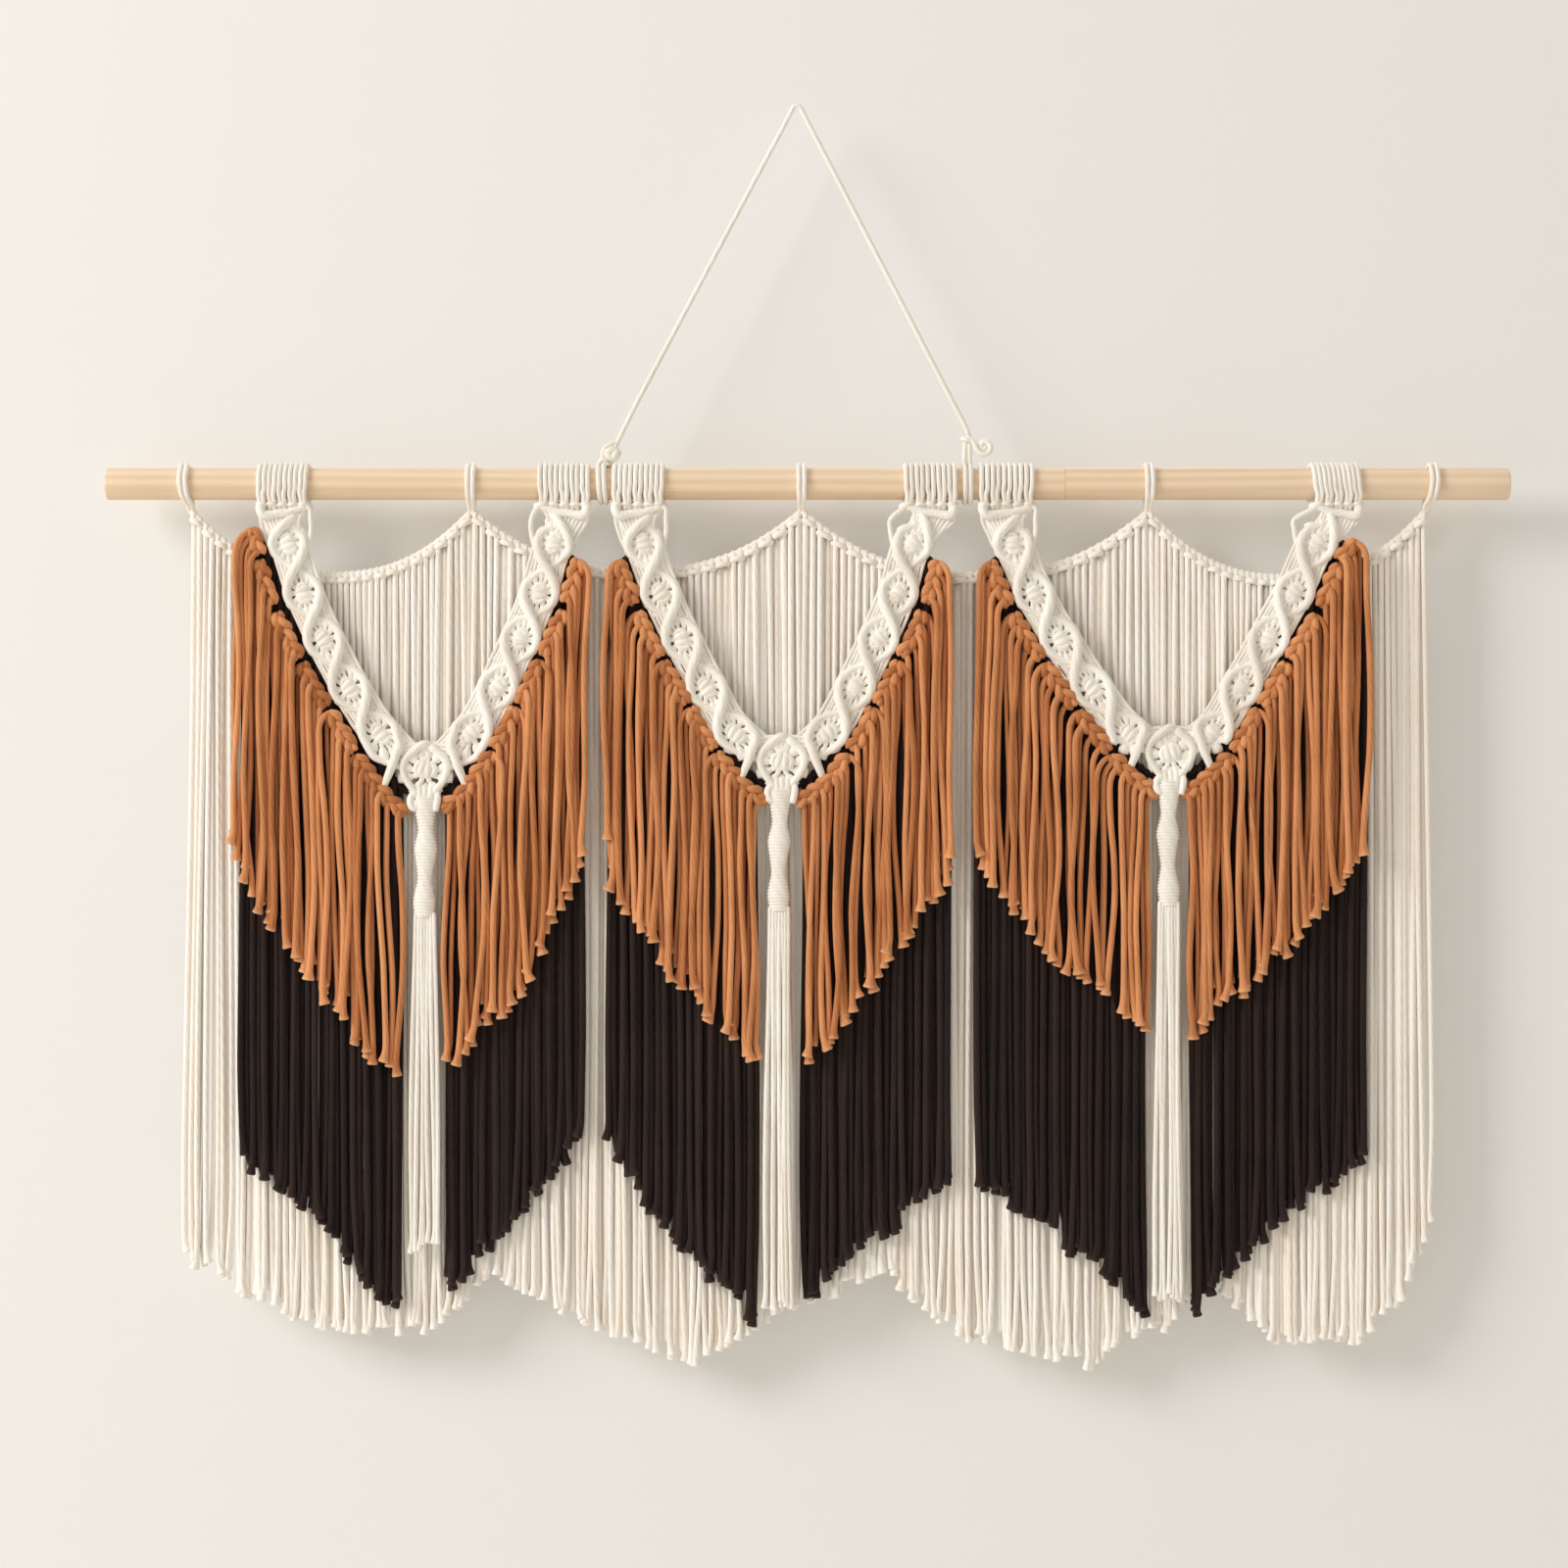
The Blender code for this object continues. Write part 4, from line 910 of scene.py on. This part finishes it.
def addHeading(bundle, arm, rand):
    # ten cords over the rod, drawn together in pairs, then hitched over one cross cord
    outSide = outerSide(arm)
    pitch = arm.width / 10
    cord = band["headCord"]
    barY = band["back"] - 4.3
    tops = [arm.heading + (i - 4.5) * pitch for i in range(10)]
    for i, x in enumerate(tops):
        pairX = arm.heading + (i // 2 * 2 + 1 - 5) * pitch + (i % 2 * 2 - 1) * band["pair"]
        over = roundRod(x + arm.lean, 235, 0, cord)
        over[:, 0] -= arm.lean * 0.6 * np.linspace(0, 1, len(over)) ** 2
        sway = 0.35 * math.sin(i * 1.3)
        leg = [underRod(x + sway + arm.lean * 0.2, -14.7, 4.5),
               underRod((x + pairX) / 2 + 0.4 * outSide, -13.9, 9.0),
               underRod(pairX, -12.3, 13.0), underRod(pairX, -10.6, 17.0),
               underRod(x, -8.0, 21.0)]
        layCord(bundle, rand, list(over) + leg, 2.2, cord)
    # a small bar shows under each pair
    for pair in range(5):
        x = arm.heading + (pair * 2 - 4) * pitch
        tilt = rand.uniform(-0.7, 0.7)
        bar = [underRod(x - 2.8, -6.5, 15.8), (x - 3.0, -10.6, rod["z"] - 16.6 - tilt),
               underRod(x, -12.9, 16.3), (x + 3.0, -10.6, rod["z"] - 16.6 + tilt),
               underRod(x + 2.8, -6.5, 15.8)]
        layCord(bundle, rand, bar, 1.6, 1.75)
    # the cross bar: a thick roll, lower towards the outer side, where it turns back on itself
    rollX = outSide * arm.width / 40
    roll = [(6.0, 4.5, -16.5), (8.2, 1.0, -17.5), (8.4, -1.6, -21.0), (7.2, -1.6, -25.2),
            (4.6, -1.0, -24.8), (1.5, -0.6, -23.6), (-2.0, -0.4, -23.0), (-5.0, -0.2, -20.8),
            (-8.4, 0.0, -18.2), (-10.2, 1.6, -17.8), (-10.4, 5.0, -18.6)]
    roll = smoothPath([(arm.heading + out * 2 * rollX, barY + deep, rod["z"] + up)
                       for out, deep, up in roll], 1.5)
    bumps = 0.16 * np.sin(np.arange(len(roll)) * 1.5 * 2 * math.pi / pitch)
    thick = np.interp(np.linspace(0, 1, len(roll)), (0, 0.3, 0.42, 1), (3.7, 3.9, 3.3, 3.0))
    addCord(bundle, roll, thick + bumps, 12, tone=0.3)
    # the cords fan out under the first ridges
    for i, x in enumerate(tops):
        share = (i - 4.5) / 4.5 * outSide
        low = onArm(arm, 0.42, share * 10.0, 2.0)
        mid = onArm(arm, 0.12, share * 12.0, 3.6)
        path = [(x, barY + 1.5, rod["z"] - 20.6 - 2.6 * share), mid, low]
        layCord(bundle, rand, path, 3.0, 1.7)
    # one cord bows out on the inner side, two run straight down on the outer side
    inner = -outSide
    edge = arm.heading + inner * arm.width / 2
    bow = [underRod(edge - inner * 2.5, barY - 1.0, 17.0),
           underRod(edge + inner * 1.5, barY - 1.2, 20.5),
           underRod(arm.top + inner * 17.6, barY + 0.5, 28.0),
           underRod(arm.top + inner * 18.0, barY + 1.0, 36.0),
           underRod(arm.top + inner * 16.0, barY + 1.5, 47.0),
           underRod(arm.top + inner * 12.0, barY + 2.5, 56.0)]
    addCord(bundle, smoothPath(bow, 2.5), 1.95, 8, tone=0.4)
    edge = arm.heading + outSide * arm.width / 2
    for inset, reach, low in ((6.5, 15.6, 46.0), (2.8, 18.6, 50.0)):
        path = [underRod(edge - outSide * inset, barY + 0.5, 24.0),
                underRod(edge - outSide * (inset + 0.8), barY + 1.0, 31.0),
                underRod(arm.top + outSide * reach, barY + 2.2, 41.0),
                underRod(arm.top + outSide * (reach - 3.5), barY + 3.2, low)]
        layCord(bundle, rand, path, 3.0, 1.6)


def addFoot(bundle, panel, rand):
    # the V's own diamond: a ring of two thick cords that close on drawn-up cords and two lobes
    top = foot["height"]
    for side in (-1, 1):
        rise = [top + 0.3] * 7 + [top + 0.8, top + 0.6]
        points = list(foot["ring"])
        if side < 0:  # the left cord lies over the right one's start
            points = [(-9.0, 16.2), (-5.0, 19.4)] + points
            rise = [top - 5.0, top - 1.5, top + 1.6, top + 1.4] + rise[2:]
        else:
            rise[0] = top - 5.0
        layCord(bundle, rand, atFoot(panel, side, points, rise), 2.0,
                (3.1, 3.25, 3.2, 3.0, 2.9, 2.9), 12, flat=0.92)
        for i in range(4):
            ends = ((5.5 + 3.0 * i, 21.5 - 3.6 * i), (20.0 + 1.0 * i, 19.6 - 3.6 * i))
            layCord(bundle, rand, atFoot(panel, side, ends, (2.6, 3.4)), 2.5, 1.6)
    for out, low in ((-4.6, 2.6), (4.6, -2.6), (0.0, 0.0)):
        gather = atFoot(panel, 1, ((out * 1.2, -9.0), (out, -14.0), (out * 0.9, -19.0),
                                   (low * -0.9, -26.5), (low * -0.5, -34.0)),
                        (0.0, top - 1.6, top + 0.8, top + 1.2, top - 1.0))
        layCord(bundle, rand, gather, 2.0, (2.8, 3.6, 4.0, 3.9, 3.2), 12)
    lobe = atFoot(panel, -1, ((6.0, -18.0), (9.4, -18.6), (11.2, -22.0), (10.8, -26.8),
                              (8.2, -29.2), (6.4, -26.6), (7.2, -22.6)),
                  (top + 1, top + 2, top + 2.4, top + 2.4, top + 2.2, top + 1.6, top + 1.4))
    addCord(bundle, smoothPath(lobe, 1.6), 3.0, 10, tone=0.5)
    stub = atFoot(panel, 1, ((9.6, -16.0), (10.0, -20.6), (9.2, -26.0), (8.0, -31.0)),
                  (top, top + 2.4, top + 2.8, top + 2.2))
    addCord(bundle, smoothPath(stub, 2.0), (2.4, 2.8, 2.9, 2.7), 10, tone=0.9)


def makeBand(panel):
    rand = random.Random(210 + panel)
    bundle = newBundle()
    for arm in (a for a in arms if a.panel == panel):
        for k in range(band["diamonds"]):
            addNet(bundle, arm, k, rand)
            addCushion(bundle, arm, k, rand)
        for k in range(1, band["diamonds"] + 1):
            addSideStrands(bundle, arm, k, rand)
        addRidges(bundle, arm)
        addHeading(bundle, arm, rand)
        if arm.side == "left":
            addNet(bundle, arm, band["diamonds"], rand)
            addCushion(bundle, arm, band["diamonds"], rand)
    addFoot(bundle, panel, rand)
    makePiece(f"knottedBand{panel + 1}", bundle, ivory, [f"band_{panel + 1}"])


for panel in range(len(panels)):
    makeBand(panel)
print("bands made")


# Pendants: a wrapped sinnet under each V, and a tassel

pendant = {
    "depth": -10.5,
    "top": -546.0,  # under the first panel's V; the others follow their own
    "widths": ((0.0, 17.0), (0.08, 17.2), (0.27, 11.6), (0.42, 18.6), (0.55, 14.5),
               (0.68, 10.8), (0.86, 18.0), (0.96, 15.4), (1.0, 14.0)),
    "flat": 0.66,
    "wrap": 2.6,  # mm from turn to turn of the wrapping cord
    "ridge": 0.5,
    "strands": 13,
    "rootHalf": 6.4,  # half the tassel's width at its roots, its shoulders and its ends
    "topHalf": 7.6,
    "half": 10.6,
    "layer": 1.9,  # mm in front of its middle and behind it, by turns
    "look": strandLook(1.85, 1.0, 1.0, 1.4, 0.45, 1.8, 8, 12.0),
}


def makePendant(number):
    rand = random.Random(310 + number)
    panel = panels[number]
    bundle = newBundle()
    top = panel.z + (pendant["top"] - panels[0].z)
    length = top - panel.tasselZ
    level = np.arange(0, length, pendant["wrap"] / 5)
    shares = [s for s, w in pendant["widths"]]
    wide = np.interp(level / length, shares, [w for s, w in pendant["widths"]]) / 2
    wide = np.convolve(np.pad(wide, 6, mode="edge"), np.ones(13) / 13, "valid")
    wide = wide + pendant["ridge"] * np.sin(2 * math.pi * level / pendant["wrap"])
    sway = 0.7 * np.sin(level / length * 5 + number)
    path = np.stack([panel.pendantX + sway, pendant["depth"] + 0 * level, top - level], -1)
    addCord(bundle, path, wide, 20, flat=pendant["flat"], tone=0.2)
    # the head's lowest cords show under the wrapping
    count = pendant["strands"]
    order = [(k + 0.5) / count * 2 - 1 for k in range(count)]
    places = [panel.pendantX + pendant["half"] * s * 1.05 for s in order]
    ends = gatherEnds(places, rand, 0.4, 4.0)
    for k, s in enumerate(order):
        x = panel.pendantX + pendant["topHalf"] * s
        y = pendant["depth"] + pendant["layer"] * (1 if k % 2 else -1)
        root = (panel.pendantX + pendant["rootHalf"] * s, pendant["depth"] - 0.5,
                panel.tasselZ + 3.5)
        low = panel.endZ + ends[k][1]
        addStrand(bundle, pendant["look"], root, x, places[k], (ends[k][0], low), y, rand)
    makePiece(f"pendant{number + 1}", bundle, ivory, [f"tassel_{number + 1}"])


for number in range(len(panels)):
    makePendant(number)
print("pendants made")


# Fringes

# x of the outer and inner side, and z of the ends on the outer side, a tenth, a half and the
# whole of the way in
hemRow = namedtuple("hemRow", "outer inner z0 z1 z5 z10")
hemStops = (0.0, 0.1, 0.5, 1.0)
rustHems = (
    hemRow(-441.5, -307.5, -570.0, -612.0, -688.0, -770.0),
    hemRow(-168.0, -275.5, -585.0, -612.0, -690.0, -758.0),
    hemRow(-150.0, -31.5, -575.0, -622.0, -688.0, -755.0),
    hemRow(124.0, 4.0, -585.0, -612.0, -682.0, -752.0),
    hemRow(140.5, 275.5, -588.0, -608.0, -672.0, -730.0),
    hemRow(443.5, 308.5, -582.0, -600.0, -668.0, -731.0),
)
darkHems = (
    hemRow(-437.0, -308.5, -818.0, -840.0, -884.0, -951.0),
    hemRow(-168.0, -275.5, -808.0, -826.0, -876.0, -938.0),
    hemRow(-149.0, -31.5, -816.0, -838.0, -898.0, -957.0),
    hemRow(122.0, 4.0, -842.0, -855.0, -891.0, -944.0),
    hemRow(140.0, 275.5, -842.0, -854.0, -892.0, -948.0),
    hemRow(448.5, 308.0, -818.0, -838.0, -880.0, -951.0),
)

# Clusters of square knots along an arm: where each starts and stops, in diamonds from the bar,
# its distance from the band's middle there, and its strands. The first is on the outer arms.
clusterRow = namedtuple("clusterRow", "first last near far strands")
clusters = (
    clusterRow(0.10, 0.56, 21.4, 20.8, 4),
    clusterRow(0.68, 1.50, 23.2, 22.4, 4),
    clusterRow(1.68, 2.62, 23.0, 21.6, 5),
    clusterRow(2.74, 3.58, 21.4, 20.6, 5),
    clusterRow(3.70, 4.44, 20.0, 21.0, 4),
    clusterRow(4.52, 5.39, 23.2, 31.5, 8),
)

rustFringe = {
    "depth": -10.2,
    "layers": (-15.6, -11.0, -13.4),
    "behind": -8.0,  # depth of a second row that fills the gaps with shaded cord
    "knotCord": 2.95,
    "knotHalf": 3.8,
    "knotLift": 2.1,
    "knotEase": 5.0,  # mm over which the end of a chain draws together
    "pitch": 33.0,  # mm along the arm for one full crossing of the three cords
    "shoulder": (2.5, 14.0),  # least and most
    "arch": 8.5,  # least for the first strand of each cluster
    "crowd": 1.12,  # above 1 the ends stand closer on the outer side
    "hang": 0.6,  # 0 spreads the ends evenly, 1 lets every strand hang straight down
    "spread": 3,  # outer strands that are spread evenly, with one behind each gap
    "uneven": 6.0,
    "look": strandLook(2.4, 2.4, 4.0, 1.1, 0.95, 3.6, 8, 9.0),
    "behindShare": 0.7,  # of the other gaps; the rest stay dark
    "behindLook": strandLook(2.0, 1.6, 4.0, 1.1, 0.8, 3.6, 6, 20.0),
}
darkFringe = {
    "strands": 26,
    "carrier": 2.8,
    "carrierOut": 14.0,  # from the middle of the band
    "carrierDepth": -3.0,
    "starts": (0.2, 0.62),  # in diamonds from the bar, on the two outermost arms and the others
    "stop": 5.3,
    "dropFrom": 4.3,  # where the carrier begins to draw away from the band, and how fast
    "drop": 5.0,
    "rootDepth": -3.4,
    "lean": 0.06,  # how far the outermost tops stay towards the carrier, as a share
    "lower": 0.25,  # and how far down they start, for each mm out from it
    "layers": (-4.6, -2.2),
    "behind": 0.6,  # depth of a second row that closes the gaps, and of its roots
    "behindRoot": -1.0,
    "uneven": 7.5,
    "look": strandLook(2.7, 1.2, 1.0, 1.2, 0.65, 3.6, 8, 14.0),
    "behindLook": strandLook(2.9, 0.6, 1.0, 1.2, 0.4, 3.6, 6, 28.0),
}


def hemAt(hem, share):
    return float(np.interp(share, hemStops, (hem.z0, hem.z1, hem.z5, hem.z10)))


def outermost(arm):
    return (arm.panel, arm.side) in ((0, "left"), (len(panels) - 1, "right"))


def besideArm(arm, u, out, y):
    # a line beside an arm, at its own distance out and one depth
    path = onArm(arm, u, 0.0, 0.0)
    outward = onArm(arm, u, 1.0, 0.0) - path
    path = path + outward * out[:, None]
    path[:, 1] = y
    return path


def addKnotChain(bundle, path, rand):
    # square knots drawn so tight that their cords show as lobes, to one side and the other
    along = directions(path)
    across = np.stack([along[:, 2], 0 * along[:, 0], -along[:, 0]], -1)
    run = runAlong(path)
    turns = 2 * math.pi * run / rustFringe["pitch"] + rand.uniform(0, 6.3)
    near = np.minimum(run + 0.8, run[-1] + 0.8 - run)  # to the nearer end
    ease = np.sqrt(np.clip(near / rustFringe["knotEase"], 0, 1))
    for n in range(3):
        phase = turns + 2 * math.pi * n / 3 + rand.uniform(-0.25, 0.25)
        wander = 1 + 0.22 * np.sin(run * rand.uniform(0.25, 0.45) + rand.uniform(0, 6.3))
        side = rustFringe["knotHalf"] * np.sin(phase) * wander * ease
        lift = rustFringe["knotLift"] * np.sin(2 * phase) * ease + 0.6
        place = path + across * side[:, None]
        place[:, 1] -= lift
        thick = rustFringe["knotCord"] * (0.88 + 0.26 * np.sin(phase) ** 2) * (0.6 + 0.4 * ease)
        addCord(bundle, place, thick, 10, flat=0.88, tone=rand.uniform(-1, 1))


def makeFringePiece(kind, arm, bundle, material):
    number = arm.panel + 1
    makePiece(f"{kind}Fringe{number}{arm.side.capitalize()}", bundle, material,
              [f"{kind}_fringe_{number}_{arm.side}"])


def makeRustFringe(number):
    arm, hem = arms[number], rustHems[number]
    rand = random.Random(410 + number)
    outSide = outerSide(arm)
    bundle = newBundle()
    roots = []
    for row in clusters if outermost(arm) else clusters[1:]:
        u = np.linspace(row.first, row.last, 28)
        share = (u - row.first) / (row.last - row.first)
        out = row.near + arm.knots + (row.far - row.near) * share**1.5
        path = besideArm(arm, u, out, rustFringe["depth"])
        addKnotChain(bundle, path, rand)
        for k in range(row.strands):
            place = (0.1 + k) / (row.strands - 0.5) * (len(path) - 1)
            middle = [np.interp(place, np.arange(len(path)), path[:, c]) for c in range(3)]
            roots.append((middle, rustFringe["arch"] if k == 0 else 0.0))
    count = len(roots)
    places = [hem.outer + (hem.inner - hem.outer) * ((k + 0.5) / count) ** rustFringe["crowd"]
              for k in range(count)]
    least, most = rustFringe["shoulder"]
    tops = []
    for k, (root, arch) in enumerate(roots):
        beyond = outSide * (places[k] - root[0]) - rand.uniform(0, 4.0)
        reach = min(max(beyond, arch, least * rand.uniform(0.7, 1.4)), most)
        tops.append(root[0] + outSide * reach)
        if k >= rustFringe["spread"]:
            places[k] += (tops[k] - places[k]) * rustFringe["hang"]
    ends = gatherEnds(places, rand, 0.65, rustFringe["uneven"])
    for k, (root, arch) in enumerate(roots):
        low = hemAt(hem, (k + 0.5) / count) + ends[k][1]
        y = rustFringe["layers"][k % 3] + rand.uniform(-0.6, 0.6)
        start = (root[0] - outSide * 1.5, rustFringe["depth"] + 1.6, root[2] + 0.5)
        addStrand(bundle, rustFringe["look"], start, tops[k], places[k], (ends[k][0], low), y,
                  rand)
        if k < count - 1 and (k < rustFringe["spread"] or rand.random() < rustFringe["behindShare"]):
            between = (places[k] + places[k + 1]) / 2
            start = (root[0], rustFringe["behind"], root[2] - 3.0)
            end = (between + rand.uniform(-2.0, 2.0), low + rand.uniform(2, 14))
            addStrand(bundle, rustFringe["behindLook"], start, (tops[k] + tops[k + 1]) / 2,
                      between, end, rustFringe["behind"], rand)
    makeFringePiece("rust", arm, bundle, rust)


def makeDarkFringe(number):
    arm, hem = arms[number], darkHems[number]
    rand = random.Random(510 + number)
    bundle = newBundle()
    u = np.linspace(darkFringe["starts"][0 if outermost(arm) else 1], darkFringe["stop"], 60)
    drop = np.maximum(0, (u - darkFringe["dropFrom"])) ** 2 * darkFringe["drop"]
    path = besideArm(arm, u, darkFringe["carrierOut"] + drop, darkFringe["carrierDepth"])
    # its inner end is hidden behind the pendant
    tuck = (panels[arm.panel].x, -1.0, panels[arm.panel].z - 20.0)
    path = np.vstack([path, [tuck]])
    addCord(bundle, smoothPath(path, 4.0), darkFringe["carrier"], 8)
    count = darkFringe["strands"]
    places = [hem.outer + (hem.inner - hem.outer) * (k + 0.5) / count for k in range(count)]
    ends = gatherEnds(places, rand, 0.5, darkFringe["uneven"])
    order = np.argsort(path[:, 0])
    reach = path[:, 0].min(), path[:, 0].max()
    for k in range(count):
        # outer strands share the top of the carrier, and bow out from it
        rootX = float(np.clip(places[k], *reach))
        level = float(np.interp(rootX, path[order, 0], path[order, 2]))
        beyond = abs(places[k] - rootX)
        low = hemAt(hem, (k + 0.5) / count) + ends[k][1]
        y = darkFringe["layers"][k % 2] + rand.uniform(-0.3, 0.3)
        top = places[k] + (rootX - places[k]) * darkFringe["lean"]
        start = (rootX, darkFringe["rootDepth"], level - 1.0 - darkFringe["lower"] * beyond)
        addStrand(bundle, darkFringe["look"], start, top, places[k], (ends[k][0], low), y, rand)
        if k + 1 < count:
            between = places[k] + (hem.inner - hem.outer) / count / 2
            start = (rootX + between - places[k], darkFringe["behindRoot"], start[2])
            end = (between + rand.uniform(-1.5, 1.5), low + rand.uniform(0, 8))
            addStrand(bundle, darkFringe["behindLook"], start, top + between - places[k],
                      between, end, darkFringe["behind"], rand)
    makeFringePiece("dark", arm, bundle, espresso)


for number in range(len(arms)):
    makeRustFringe(number)
    makeDarkFringe(number)
print("fringes made")


# Stage: a plaster wall close behind, a pale floor below, and soft light from the upper left

stage = {
    "wallY": 42.0,
    "floorZ": -1650.0,
    "half": 4000.0,
    "wall": "#F3F2EF",
    "floor": "#E9E5DE",
    "air": "#FFFBF5",  # soft daylight from all round
    "airStrength": 0.58,
}


def stageMaterial(name, colour, oneSided):
    # matt emulsion paint; the wall is seen only from its front, so that it hides nothing
    material, tree, shader = newMaterial(name)
    feed(tree, shader, {"Base Color": linear(colour), "Roughness": 0.95,
                        "Specular IOR Level": 0.1})
    if oneSided:
        face = addNode(tree, "NewGeometry").outputs["Backfacing"]
        ray = addNode(tree, "LightPath").outputs["Is Shadow Ray"]
        through = addNode(tree, "BsdfTransparent")
        mix = addNode(tree, "MixShader", inputs={0: mathNode(tree, "MAXIMUM", face, ray),
                                                 1: shader.outputs[0], 2: through.outputs[0]})
        feed(tree, tree.nodes["Material Output"], {"Surface": mix.outputs[0]})
    return material


def stagePlane(name, corners, material):
    mesh = bpy.data.meshes.new(name)
    mesh.from_pydata([[c * mm for c in corner] for corner in corners], [], [(0, 1, 2, 3)])
    mesh.materials.append(material)
    plane = bpy.data.objects.new(name, mesh)
    bpy.context.collection.objects.link(plane)


half, wallY, floorZ = stage["half"], stage["wallY"], stage["floorZ"]
stagePlane("stageWall", [(-half, wallY, floorZ), (half, wallY, floorZ),
                         (half, wallY, half), (-half, wallY, half)],
           stageMaterial("paintedWall", stage["wall"], True))
stagePlane("stageFloor", [(-half, -half, floorZ), (half, -half, floorZ),
                          (half, half, floorZ), (-half, half, floorZ)],
           stageMaterial("paleFloor", stage["floor"], False))

lamps = {
    "key": {"at": (-5.0, -3.0, 2.0), "size": 2.6, "power": 225.0, "colour": "#FFFFFF"},
    "rear": {"at": (0.9, 2.6, 1.0), "size": 2.0, "power": 30.0, "colour": "#FFFFFF"},
}


def addLamp(name, lamp):
    light = bpy.data.lights.new(name, "AREA")
    light.shape = "SQUARE"
    light.size = lamp["size"]
    light.energy = lamp["power"]
    light.color = linear(lamp["colour"])[:3]
    obj = bpy.data.objects.new(name, light)
    obj.location = lamp["at"]
    toward = np.array([0.0, 0.0, -0.5]) - np.array(lamp["at"])
    flat = math.hypot(toward[0], toward[1])
    obj.rotation_euler = (math.atan2(flat, -toward[2]), 0.0, math.atan2(-toward[0], toward[1]))
    obj.visible_camera = False
    bpy.context.collection.objects.link(obj)


for name, lamp in lamps.items():
    addLamp(name + "Light", lamp)
world = bpy.data.worlds.new("room")
world.use_nodes = True
feed(world.node_tree, world.node_tree.nodes["Background"],
     {"Color": linear(stage["air"]), "Strength": stage["airStrength"]})
bpy.context.scene.world = world
bpy.context.scene.view_settings.view_transform = "Standard"
print("stage and lights placed")

added = [o.data for o in bpy.data.objects if o.type == "MESH" and mapName in o.data.uv_layers]
print("triangles:", sum(len(face.vertices) - 2 for mesh in added for face in mesh.polygons))
